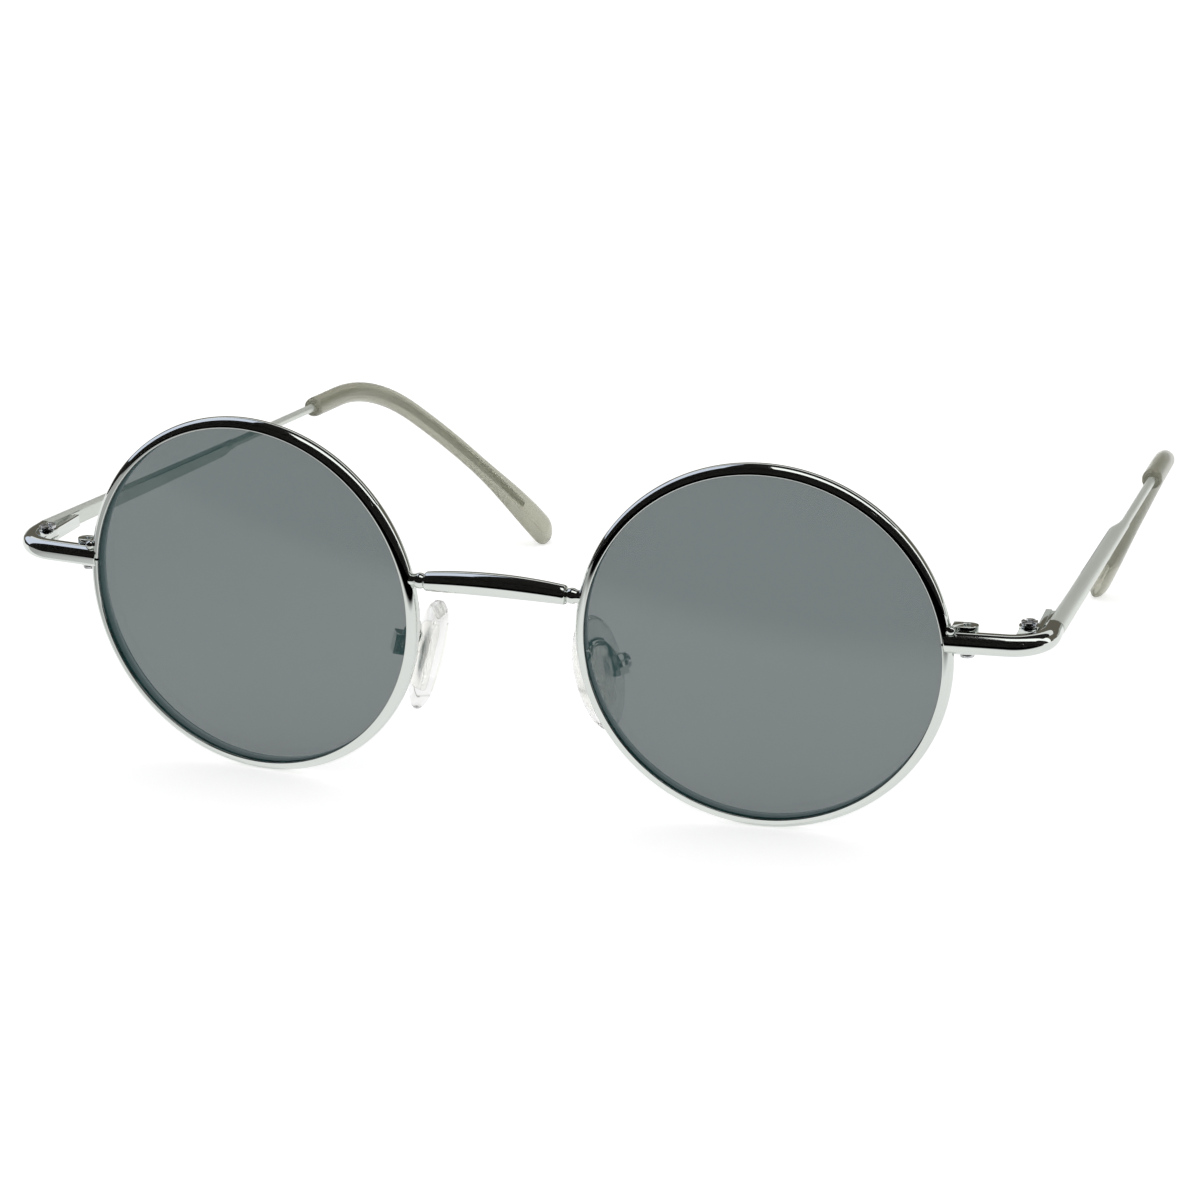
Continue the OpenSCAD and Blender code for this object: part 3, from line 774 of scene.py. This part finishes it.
class GLASSES_OT_rims(bpy.types.Operator):
    """Turn the rounded rim section about each lens axis, with its groove and its split"""

    bl_idname = "glasses.rims"
    bl_label = "Rims"

    def execute(self, context):
        f = front_sizes()
        inner = f.lens_width / 2
        outer = inner + f.rim_width
        half = f.rim_depth / 2
        wire_middle = outer - half
        flank = inner + f.rim_edge
        reach = acos((flank - wire_middle) / half)
        side = half * sin(reach)
        rounding = [radians(15 * step) for step in range(6)]
        lower = [(flank - f.rim_edge * cos(a), -side + f.rim_edge * (1 - sin(a)), 0)
                 for a in rounding]
        round_side = [(wire_middle + half * cos(a), half * sin(a), 0)
                      for a in [-reach] + steps_between(-reach, reach, 30)]
        upper = [(x, -y, 0) for x, y, _ in reversed(lower)]
        groove = [(inner, f.groove, 0), (inner + f.groove, 0, 0), (inner, -f.groove, 0)]
        section = lower + round_side + upper + groove + lower[:1]
        split = asin(end_sizes().level / (inner + f.rim_width / 2))
        half_gap = asin(f.split_gap / 2 / inner)
        rim = begin("round_rim_right")
        trace(section)
        spin_all(176, tau - 2 * half_gap)
        fill_ends()
        close_up(rim, lens_frame() @ turn(-split, "Y") @ turn(-half_gap, "Y"))
        dress_pair(rim, "rim_right", "front", "chrome")
        return {"FINISHED"}


class GLASSES_OT_lenses(bpy.types.Operator):
    """Turn the domed lens with its bevelled edge"""

    bl_idname = "glasses.lenses"
    bl_label = "Lenses"

    def execute(self, context):
        f = front_sizes()
        fit = 0.02 * MM
        thinner_edge = 0.1 * MM
        edge = f.lens_width / 2 - fit
        half = f.lens_thickness / 2 - thinner_edge
        bevel = f.groove - fit
        steps = 20

        def dome(radius):
            return sqrt(f.dome_radius ** 2 - radius ** 2) - sqrt(f.dome_radius ** 2 - edge ** 2)

        radii = [edge * i / steps for i in range(steps + 1)]
        front_arc = [(x, -half - dome(x), 0) for x in radii]
        back_arc = [(x, half - dome(x), 0) for x in reversed(radii)]
        lens = begin("domed_lens_right")
        trace(front_arc + [(edge, -bevel, 0), (edge + bevel, 0, 0), (edge, bevel, 0)] + back_arc)
        spin_all(180, tau)
        close_up(lens, lens_frame(), smooth_angle=25)
        self.mark_edge(lens, edge, half)
        dress_pair(lens, "lens_right", "front", "lens")
        return {"FINISHED"}

    def mark_edge(self, lens, edge, half):
        """Notes for the lens finish which faces are ground and how deep each point lies."""
        back_home = lens_frame().inverted()
        last_dome_ring = edge - 0.1 * MM
        ground = lens.data.attributes.new("ground", "FLOAT", "FACE")
        for face in lens.data.polygons:
            spot = back_home @ face.center
            ground.data[face.index].value = float(hypot(spot.x, spot.z) > last_dome_ring)
        # The depth sets where the painted shade of the groove on the lens edge fades out
        depth = lens.data.attributes.new("edge_depth", "FLOAT", "POINT")
        for point in lens.data.vertices:
            depth.data[point.index].value = ((back_home @ point.co).y + half) / (half * 2)


class GLASSES_OT_bridge(bpy.types.Operator):
    """Loft the arched bridge bar with its rounded ends, beads and necks"""

    bl_idname = "glasses.bridge"
    bl_label = "Bridge"

    def execute(self, context):
        f = front_sizes()
        rim_radius = f.lens_width / 2 + f.rim_width
        inner_edge = turn(f.face_wrap, "Z") @ Vector(
            (-sqrt(rim_radius ** 2 - f.bridge_height ** 2), 0, f.bridge_height))
        joint_x = LENS_MIDDLE.x + inner_edge.x
        bar_end = joint_x - f.neck_length
        neck_radius = f.neck_width / 2
        rounding = 0.45 * MM
        bead_at = bar_end + 0.42 * f.neck_length
        bead_radius = neck_radius + 0.2 * MM
        inside_rim = 0.45 * MM
        neck_step = 0.03 * MM

        def radius_at(x):
            bar_radius = blend_of(f.bridge_width, f.bridge_end_width, min(1, x / bar_end) ** 2) / 2
            if x <= bar_end - rounding:
                return bar_radius
            if x <= bar_end:
                rest = (x - bar_end + rounding) / rounding
                return bar_radius - rounding + rounding * sqrt(max(0, 1 - rest * rest))
            bead = max(0, bead_radius ** 2 - (x - bead_at) ** 2)
            return max(neck_radius, sqrt(bead))

        stations = [0] + steps_between(0, bar_end - rounding, 16)
        stations += [bar_end - rounding + rounding * sin(radians(a)) for a in range(12, 91, 13)]
        stations += [bar_end + neck_step]
        stations += [bead_at + bead_radius * sin(radians(a)) for a in range(-38, 39, 9)]
        stations += [joint_x, joint_x + inside_rim]
        rings = []
        for x in [-s for s in reversed(stations[1:])] + stations:
            rise = f.bridge_rise * max(0, 1 - (x / bar_end) ** 2)
            spot = shift(x, 0, rise) @ turn(pi / 2, "Y")
            rings.append((spot, radius_at(abs(x)), radius_at(abs(x))))
        place = front_frame() @ shift(0, inner_edge.y, f.bridge_height)
        bridge = loft("bridge_bar", rings, 48, place, smooth_angle=55)
        dress(bridge, "bridge", "front", "chrome")
        return {"FINISHED"}


class GLASSES_OT_end_pieces(bpy.types.Operator):
    """Extrude the half-round end piece from the rim, round its corner and back to the temple"""

    bl_idname = "glasses.end_pieces"
    bl_label = "End Pieces"

    def execute(self, context):
        e = end_sizes()
        f = front_sizes()
        radius = e.height / 2
        line = -e.ahead
        back = line + e.depth / 2
        round_middle = line - e.depth / 2 + radius
        over_rim = 0.15 * MM
        start_x = f.lens_width / 2 + over_rim
        section = [(start_x, back, -radius)]
        section += [(start_x, round_middle - radius * cos(a), radius * sin(a))
                    for a in [radians(7.5 * step) for step in range(-12, 13)]]
        section += [(start_x, back, radius), (start_x, back, -radius)]
        corner = Vector((e.reach, line + e.corner_radius, 0))
        corner_turn = pi / 2 - f.face_wrap + temple_sizes().splay
        piece = begin("end_piece_bar_right")
        trace(section)
        bpy.ops.mesh.edge_face_add()
        bpy.ops.mesh.extrude_region_move(TRANSFORM_OT_translate={"value": (e.reach - start_x, 0, 0)})
        bpy.ops.mesh.spin(steps=28, angle=corner_turn, center=corner, axis=(0, 0, -1))
        along = Vector((cos(corner_turn), sin(corner_turn), 0))
        bpy.ops.mesh.extrude_region_move(TRANSFORM_OT_translate={"value": along * e.rear_length})
        close_up(piece, lens_frame() @ shift(0, 0, e.level))
        soften(piece, 0.14 * MM, angle=50)
        bead = begin("bead")
        bead_spot = (f.lens_width / 2 + f.rim_width - 0.25 * MM, line - 0.15 * MM, radius + 0.3 * MM)
        bpy.ops.mesh.primitive_uv_sphere_add(
            segments=32, ring_count=20, radius=e.bead_radius, location=bead_spot)
        close_up(bead, lens_frame() @ shift(0, 0, e.level))
        join_to(piece)
        dress_pair(piece, "end_piece_right", "front", "chrome")
        return {"FINISHED"}


class GLASSES_OT_hinges(bpy.types.Operator):
    """Soften the closing blocks, the hinges and their screws"""

    bl_idname = "glasses.hinges"
    bl_label = "Blocks and Hinges"

    def execute(self, context):
        dress_refined((
            ("closing_block_upper", "front", "chrome", 0.12 * MM),
            ("closing_block_lower", "front", "chrome", 0.12 * MM),
            ("closing_screw", "front", "steel", 0.05 * MM),
            ("front_hinge", "front", "chrome", 0.08 * MM),
            ("temple_hinge", "temple_arm_{}", "chrome", 0.08 * MM),
            ("hinge_screw", "front", "steel", 0.05 * MM)))
        return {"FINISHED"}


# The temples


# Step from the end of the bar down to the wire
SHOULDER_STEP = 0.1 * MM


def bend_length():
    """The length of a temple up to the end of its ear bend."""
    t = temple_sizes()
    return t.straight_length + t.ear_radius * t.ear_angle


def temple_length():
    return bend_length() + temple_sizes().tail_length


def fall_at(s):
    """The angle at which the temple falls at a distance along it."""
    t = temple_sizes()
    bend_end = bend_length()
    if s <= t.straight_length:
        return 0.0
    if s <= bend_end:
        return (s - t.straight_length) / t.ear_radius
    return t.ear_angle + (s - bend_end) * t.tail_angle / t.tail_length


def path_place(s):
    """The place of a ring on the temple's wire at a distance along it."""
    t = temple_sizes()
    bend_end = bend_length()
    tail_radius = t.tail_length / t.tail_angle
    fall = fall_at(s)
    if s <= t.straight_length:
        y, z = s, 0.0
    else:
        y = t.straight_length + t.ear_radius * sin(min(fall, t.ear_angle))
        z = t.ear_radius * (cos(min(fall, t.ear_angle)) - 1)
    if s > bend_end:
        y += tail_radius * (sin(fall) - sin(t.ear_angle))
        z += tail_radius * (cos(fall) - cos(t.ear_angle))
    wire_side = (t.bar_depth - t.wire_width - 2 * SHOULDER_STEP) / 2
    return (shift(wire_side, 0, 0) @ turn(t.ear_lean, "Y") @ shift(0, y, z)
            @ turn(-fall, "X") @ turn(pi / 2, "X"))


def wire_stations(last):
    t = temple_sizes()
    bend_end = bend_length()
    return ([t.straight_length] + steps_between(t.straight_length, bend_end, 14)
            + steps_between(bend_end, last, 14))


class GLASSES_OT_temples(bpy.types.Operator):
    """Loft the temple bar, flat inside, its taper and the wire that runs on into the sleeve"""

    bl_idname = "glasses.temples"
    bl_label = "Temples"

    def execute(self, context):
        t = temple_sizes()
        outer = t.bar_depth / 2
        shoulder = t.wire_width / 2 + SHOULDER_STEP
        wire_end = temple_length() + t.sleeve_over - t.sleeve_cap
        upright = turn(pi / 2, "X")
        full_half_depth = 1.1 * MM
        inside_slope = 0.1 / 43
        rings = []
        bar_stations = [0] + steps_between(0, t.bar_length, 6)
        taper_stations = [t.bar_length + d for d in steps_between(0, t.taper_length, 10)]
        for s in bar_stations + taper_stations:
            share = eased((s - t.bar_length) / t.taper_length)
            along = min(1, s / t.bar_length)
            half_height = blend_of(blend_of(t.bar_height, t.bar_end_height, along) / 2, shoulder, share)
            half_depth = blend_of(full_half_depth, shoulder, share)
            rings.append((shift(outer - half_depth, s, 0) @ upright, half_depth, half_height))
        bar = loft("temple_bar_right", rings, 48, Matrix.Identity(4))
        pick(bar)
        bpy.ops.object.mode_set(mode="EDIT")
        select_everything()
        bpy.ops.mesh.bisect(
            plane_co=(-outer, 0, 0), plane_no=(-1, inside_slope, 0), clear_outer=True, use_fill=True)
        close_up(bar, bar_frame())
        soften(bar, 0.14 * MM, angle=45)
        inside_bar = t.bar_length + t.taper_length - 1 * MM
        straight_stations = [inside_bar, inside_bar + 4 * MM, t.sleeve_start]
        wire_rings = [(path_place(s), t.wire_width / 2, t.wire_width / 2)
                      for s in straight_stations + wire_stations(wire_end)]
        loft("wire", wire_rings, 32, bar_frame())
        join_to(bar)
        dress_pair(bar, "temple_right", "temple_arm_{}", "satin_metal")
        return {"FINISHED"}


class GLASSES_OT_sleeves(bpy.types.Operator):
    """Loft the ear sleeve with its wide rounded end and cut its bore"""

    bl_idname = "glasses.sleeves"
    bl_label = "Ear Sleeves"

    def execute(self, context):
        t = temple_sizes()
        start = t.sleeve_start
        end = temple_length() + t.sleeve_over
        wire_end = end - t.sleeve_cap
        mouth = 1.2 * MM
        mouth_share = 0.8
        swelling = 1.12
        tip = 0.42 * t.paddle_width
        paddle_start = end - 19 * MM
        paddle_over = 16 * MM
        slim_over = 25 * MM

        def rounded(distance, length):
            return 1 if distance >= length else sqrt(max(0, 1 - (1 - distance / length) ** 2))

        def half_size(s, tail, paddle):
            width = blend_of(t.sleeve_width, tail, eased((s - t.straight_length) / slim_over))
            width = blend_of(width, paddle, eased((s - paddle_start) / paddle_over))
            front = blend_of(mouth_share, 1, rounded(s - start, mouth))
            return width / 2 * front * rounded(end - s, tip)

        stations = [start + mouth * i / 5 for i in range(6)]
        stations += steps_between(start + mouth, t.straight_length, 4)
        stations += steps_between(t.straight_length, bend_length(), 16)
        stations += steps_between(bend_length(), end - tip, 24)
        stations += [end - tip * (1 - sin(radians(a))) for a in range(9, 87, 7)]
        rings = [
            (path_place(s), half_size(s, t.sleeve_tail, t.paddle_depth),
             half_size(s, t.sleeve_width * swelling, t.paddle_width)) for s in stations]
        sleeve = loft("smoky_sleeve_right", rings, 48, bar_frame(), smooth_angle=60)
        bore = t.wire_width / 2 + 0.04 * MM
        bore_rings = [(path_place(s), bore, bore)
                      for s in [start - 2 * MM] + wire_stations(wire_end + 0.3 * MM)]
        cut(sleeve, loft("bore", bore_rings, 32, bar_frame()))
        pick(sleeve)
        smooth(50)
        dress_pair(sleeve, "ear_sleeve_right", "temple_arm_{}", "sleeve")
        return {"FINISHED"}


# The nose pads


class GLASSES_OT_pad_arms(bpy.types.Operator):
    """Loft the bent wire from the back of the rim to the pad box, with its solder"""

    bl_idname = "glasses.pad_arms"
    bl_label = "Pad Arms"

    def execute(self, context):
        f = front_sizes()
        p = pad_sizes()
        arm_level = -2.9 * MM
        ring_radius = f.lens_width / 2 + f.rim_width - f.rim_depth / 2 + 0.4 * MM
        wrap = turn(f.face_wrap, "Z")
        root = Vector((LENS_MIDDLE.x, 0, 0)) + wrap @ Vector(
            (-sqrt(ring_radius ** 2 - arm_level ** 2), 0.3 * MM, arm_level))
        outward = wrap @ Vector((0, 1, 0))
        box_middle = front_frame().inverted() @ Vector(PAD_JOINT["pos_m"])
        box_top = 1.26 * MM
        seat = box_middle + pad_turn() @ Vector((0, 0, box_top - 0.1 * MM))
        above = box_middle + pad_turn() @ Vector((0, 0, box_top + 1.2 * MM))
        behind = root + outward * 3.2 * MM + Vector((0.3 * MM, 0, 2.2 * MM))
        root_solder = 0.3 * MM
        root_spread = 0.07
        box_solder = 0.12 * MM
        box_spread = 0.05

        def point(k):
            first_half = root * (1 - k) ** 3 + behind * 3 * k * (1 - k) ** 2
            return first_half + above * 3 * k * k * (1 - k) + seat * k ** 3

        rings = []
        steps = 30
        for i in range(steps + 1):
            k = i / steps
            way = point(min(1, k + 0.01)) - point(max(0, k - 0.01))
            place = Matrix.Translation(point(k)) @ way.to_track_quat("Z", "Y").to_matrix().to_4x4()
            solder = root_solder * exp(-((k - 0.06) / root_spread) ** 2)
            solder += box_solder * exp(-((1 - k) / box_spread) ** 2)
            rings.append((place, p.arm_width / 2 + solder, p.arm_width / 2 + solder))
        arm = loft("pad_wire_right", rings, 28, front_frame(), smooth_angle=60)
        dress_pair(arm, "pad_arm_right", "front", "chrome")
        return {"FINISHED"}


class GLASSES_OT_nose_pads(bpy.types.Operator):
    """Loft the clear cushion and soften its box, core and screw"""

    bl_idname = "glasses.nose_pads"
    bl_label = "Nose Pads"

    def execute(self, context):
        p = pad_sizes()
        rings = []
        steps = 18
        fullness = 0.55
        face_height = 0.12
        face_width = 0.06
        for i in range(steps + 1):
            angle = radians(-87 + 174 * i / steps)
            across = sin(angle)
            spread = cos(angle) ** fullness
            place = shift(across * p.thickness / 2, 0, 0) @ turn(pi / 2, "Y")
            half_height = p.height / 2 * blend_of(face_height, 1, spread)
            half_width = p.width / 2 * blend_of(face_width, 1, spread)
            rings.append((place, half_height, half_width))
        pad = loft("clear_pad_right", rings, 56, Matrix.Identity(4), smooth_angle=60)
        apply_modifier(pad, "Egg Shape", "SIMPLE_DEFORM", {
            "deform_method": "TAPER", "deform_axis": "Z", "factor": 0.16})
        settle(pad, pad_frame())
        dress_pair(pad, "nose_pad_right", "pad_{}", "silicone")
        dress_refined((
            ("pad_box", "front", "chrome", 0.1 * MM),
            ("pad_core", "pad_{}", "core", 0.08 * MM),
            ("pad_screw", "front", "steel", 0.06 * MM)))
        return {"FINISHED"}


# The stage, in metres


def facing(azimuth, elevation, distance):
    """The place of a card that faces the glasses from a direction, in degrees from the front."""
    aim = turn(radians(azimuth), "Z") @ turn(radians(-elevation), "X")
    return aim @ shift(0, -distance, 0) @ turn(pi / 2, "X")


def stage_plane(name, size, place):
    deselect()
    bpy.ops.mesh.primitive_plane_add(size=1)
    plane = bpy.context.object
    plane.name = plane.data.name = name
    settle(plane, place @ Matrix.Diagonal((size[0], size[1], 1, 1)))
    return plane


def plain_floor():
    """A pale floor that reads as white from anywhere and still takes the shadow."""
    graph = new_finish("plain_floor")
    camera_glow = 0.51
    mirror_glow = 0.43
    direct, glossy, through = graph.rays()
    diffuse = graph.add("ShaderNodeBsdfDiffuse", {}, {"Color": (0.8, 0.8, 0.8, 1)})
    strength = direct * camera_glow + (glossy + through).clamp() * mirror_glow
    glow = graph.add("ShaderNodeEmission", {}, {"Strength": strength})
    return graph.add_output(graph.add("ShaderNodeAddShader", {}, {0: diffuse, 1: glow}))


def flag_black():
    """The dark room that polished metal shows."""
    graph = new_finish("flag_black")
    return graph.finish({"Base Color": (0.012, 0.01, 0.009, 1), "Roughness": 0.9})


def lit_card(name, colour, strength=1):
    """A plain lit card, to be seen in reflections."""
    graph = new_finish(name)
    light = graph.add("ShaderNodeEmission", {}, {"Color": rgba(colour), "Strength": strength})
    return graph.add_output(light)


def table_tone():
    """White near the glasses, dark beyond the table's front edge and dimmer to the left."""
    graph = new_finish("table_tone")
    edge_slope = 0.3
    edge_line = -0.124
    edge_softness = 0.02
    left_end = -0.1
    left_softness = 0.07
    left_level = 0.5
    right_gain = 0.55
    spot = graph.spot()
    x = graph.add("ShaderNodeSeparateXYZ", {}, {"Vector": spot}, "X")
    y = graph.add("ShaderNodeSeparateXYZ", {}, {"Vector": spot}, "Y")
    inside = ((y - (x * edge_slope + edge_line)) / edge_softness + 0.5).clamp()
    right = ((x - left_end) / left_softness).clamp()
    strength = inside * (left_level + right * right_gain)
    return graph.add_output(graph.add("ShaderNodeEmission", {}, {"Strength": strength}))


class GLASSES_OT_stage(bpy.types.Operator):
    """Set the camera, the soft light all round, the floor and the cards that the metal mirrors"""

    bl_idname = "glasses.stage"
    bl_label = "Stage"

    def execute(self, context):
        self.add_camera(context)
        self.add_sky(context)
        floor = stage_plane("floor", (8, 8), Matrix.Identity(4))
        floor.data.materials.append(plain_floor())
        upright = turn(pi / 2, "X")
        sideways = turn(pi / 2, "Z") @ upright
        slant = turn(radians(20.8), "Z")
        black = flag_black()
        white = lit_card("white_card", (1, 1, 1), 1.45)
        window = lit_card("window_card", (0.78, 0.83, 1), 1.1)
        dim = lit_card("dim_card", (0.15, 0.138, 0.112))
        pale = lit_card("pale_card", (0.5, 0.51, 0.49))
        for name, size, place, material in (
                ("front_flag", (2.25, 0.95), shift(-0.17, -1.2, 0.475) @ upright, black),
                ("right_flag", (1.6, 1.6), shift(1, -0.74, 0.17) @ sideways @ slant, black),
                ("overhead_flag", (3, 1.85), shift(0, -0.3, 0.92), black),
                ("overhead_light", (1.13, 0.4), shift(0.495, -0.16, 0.88) @ turn(0.12, "Z"), white),
                ("right_light", (0.72, 0.95), shift(1.06, -0.04, 0.475) @ sideways, white),
                ("right_back_flag", (0.3, 0.95), shift(1.065, 0.4, 0.475) @ sideways, dim),
                ("left_window", (0.5, 0.86), facing(-100, 40, 0.8), window),
                ("left_flag", (1.7, 0.95), shift(-1.24, -0.4, 0.475) @ sideways, black),
                ("left_wall", (0.7, 0.9), shift(-1.25, 0.75, 0.5) @ sideways, dim),
                ("back_wall", (2.6, 0.65), shift(0, 1.05, 0.625) @ upright, dim),
                ("back_sweep", (2.6, 0.2), shift(0, 1.04, 0.2) @ upright, pale),
                ("right_wall", (0.6, 0.85), shift(1.07, 0.8, 0.525) @ sideways, dim),
                ("table_front", (2.4, 1.14), shift(0, -0.63, 0.0005), table_tone())):
            self.add_card(name, size, place, material)
        return {"FINISHED"}

    def add_card(self, name, size, place, material):
        """A card that shows in polished metal only."""
        card = stage_plane(name, size, place)
        card.data.materials.append(material)
        card.visible_camera = False
        card.visible_diffuse = False
        card.visible_transmission = False
        card.visible_shadow = False

    def add_camera(self, context):
        """The camera at its place before the leaning front, turned by its right and its forward way."""
        camera = bpy.data.cameras.new("camera")
        camera.lens = context.scene.stage_settings.lens_length
        camera.sensor_width = 36
        camera.clip_start = 0.01
        spot = Vector((179.3, -447.8, 179.0)) * MM
        across = Vector((0.93988, 0.3405, -0.0263)).normalized()
        ahead = Vector((-0.3283, 0.87962, -0.34423)).normalized()
        up = across.cross(ahead).normalized()
        across = ahead.cross(up)
        seen = Matrix((across, up, -ahead)).transposed().to_4x4()
        holder = bpy.data.objects.new("camera", camera)
        holder.matrix_world = front_frame() @ Matrix.Translation(spot) @ seen
        context.scene.collection.objects.link(holder)
        context.scene.camera = holder

    def add_sky(self, context):
        """Soft light from everywhere, which the camera and reflections see as white."""
        world = bpy.data.worlds.new("soft_sky")
        context.scene.world = world
        graph = Graph(world)
        direct, glossy, through = graph.rays()
        seen = (direct + glossy + through).clamp()
        level = context.scene.stage_settings.sky_level
        strength = level + seen * (1 - level)
        sky = graph.add("ShaderNodeBackground", {}, {"Color": (1, 1, 1, 1), "Strength": strength})
        graph.add_output(sky, "ShaderNodeOutputWorld")
        context.scene.view_settings.view_transform = "Standard"


class GLASSES_PT_panel(bpy.types.Panel):
    """Lists the steps that build the sunglasses"""

    bl_idname = "GLASSES_PT_panel"
    bl_label = "Round Sunglasses"
    bl_space_type = "VIEW_3D"
    bl_region_type = "UI"
    bl_category = "Sunglasses"

    def draw(self, context):
        for operator in OPERATORS:
            self.layout.operator(operator.bl_idname)


GROUPS = {
    "front_sizes": FrontSizes,
    "end_piece_sizes": EndPieceSizes,
    "temple_sizes": TempleSizes,
    "pad_sizes": PadSizes,
    "finish_colours": FinishColours,
    "stage_settings": StageSettings,
}
OPERATORS = (
    GLASSES_OT_stage,
    GLASSES_OT_rims,
    GLASSES_OT_lenses,
    GLASSES_OT_bridge,
    GLASSES_OT_end_pieces,
    GLASSES_OT_hinges,
    GLASSES_OT_temples,
    GLASSES_OT_sleeves,
    GLASSES_OT_pad_arms,
    GLASSES_OT_nose_pads,
)


def register():
    for name, group in GROUPS.items():
        bpy.utils.register_class(group)
        setattr(bpy.types.Scene, name, PointerProperty(type=group))
    for listed in OPERATORS + (GLASSES_PT_panel,):
        bpy.utils.register_class(listed)


def unregister():
    for listed in reversed(OPERATORS + (GLASSES_PT_panel,)):
        bpy.utils.unregister_class(listed)
    for name, group in reversed(GROUPS.items()):
        delattr(bpy.types.Scene, name)
        bpy.utils.unregister_class(group)


def main():
    """Builds the stage and every piece."""
    register()
    bpy.ops.glasses.stage()
    bpy.ops.glasses.rims()
    bpy.ops.glasses.lenses()
    bpy.ops.glasses.bridge()
    bpy.ops.glasses.end_pieces()
    bpy.ops.glasses.hinges()
    bpy.ops.glasses.temples()
    bpy.ops.glasses.sleeves()
    bpy.ops.glasses.pad_arms()
    bpy.ops.glasses.nose_pads()


if __name__ == "__main__":
    main()
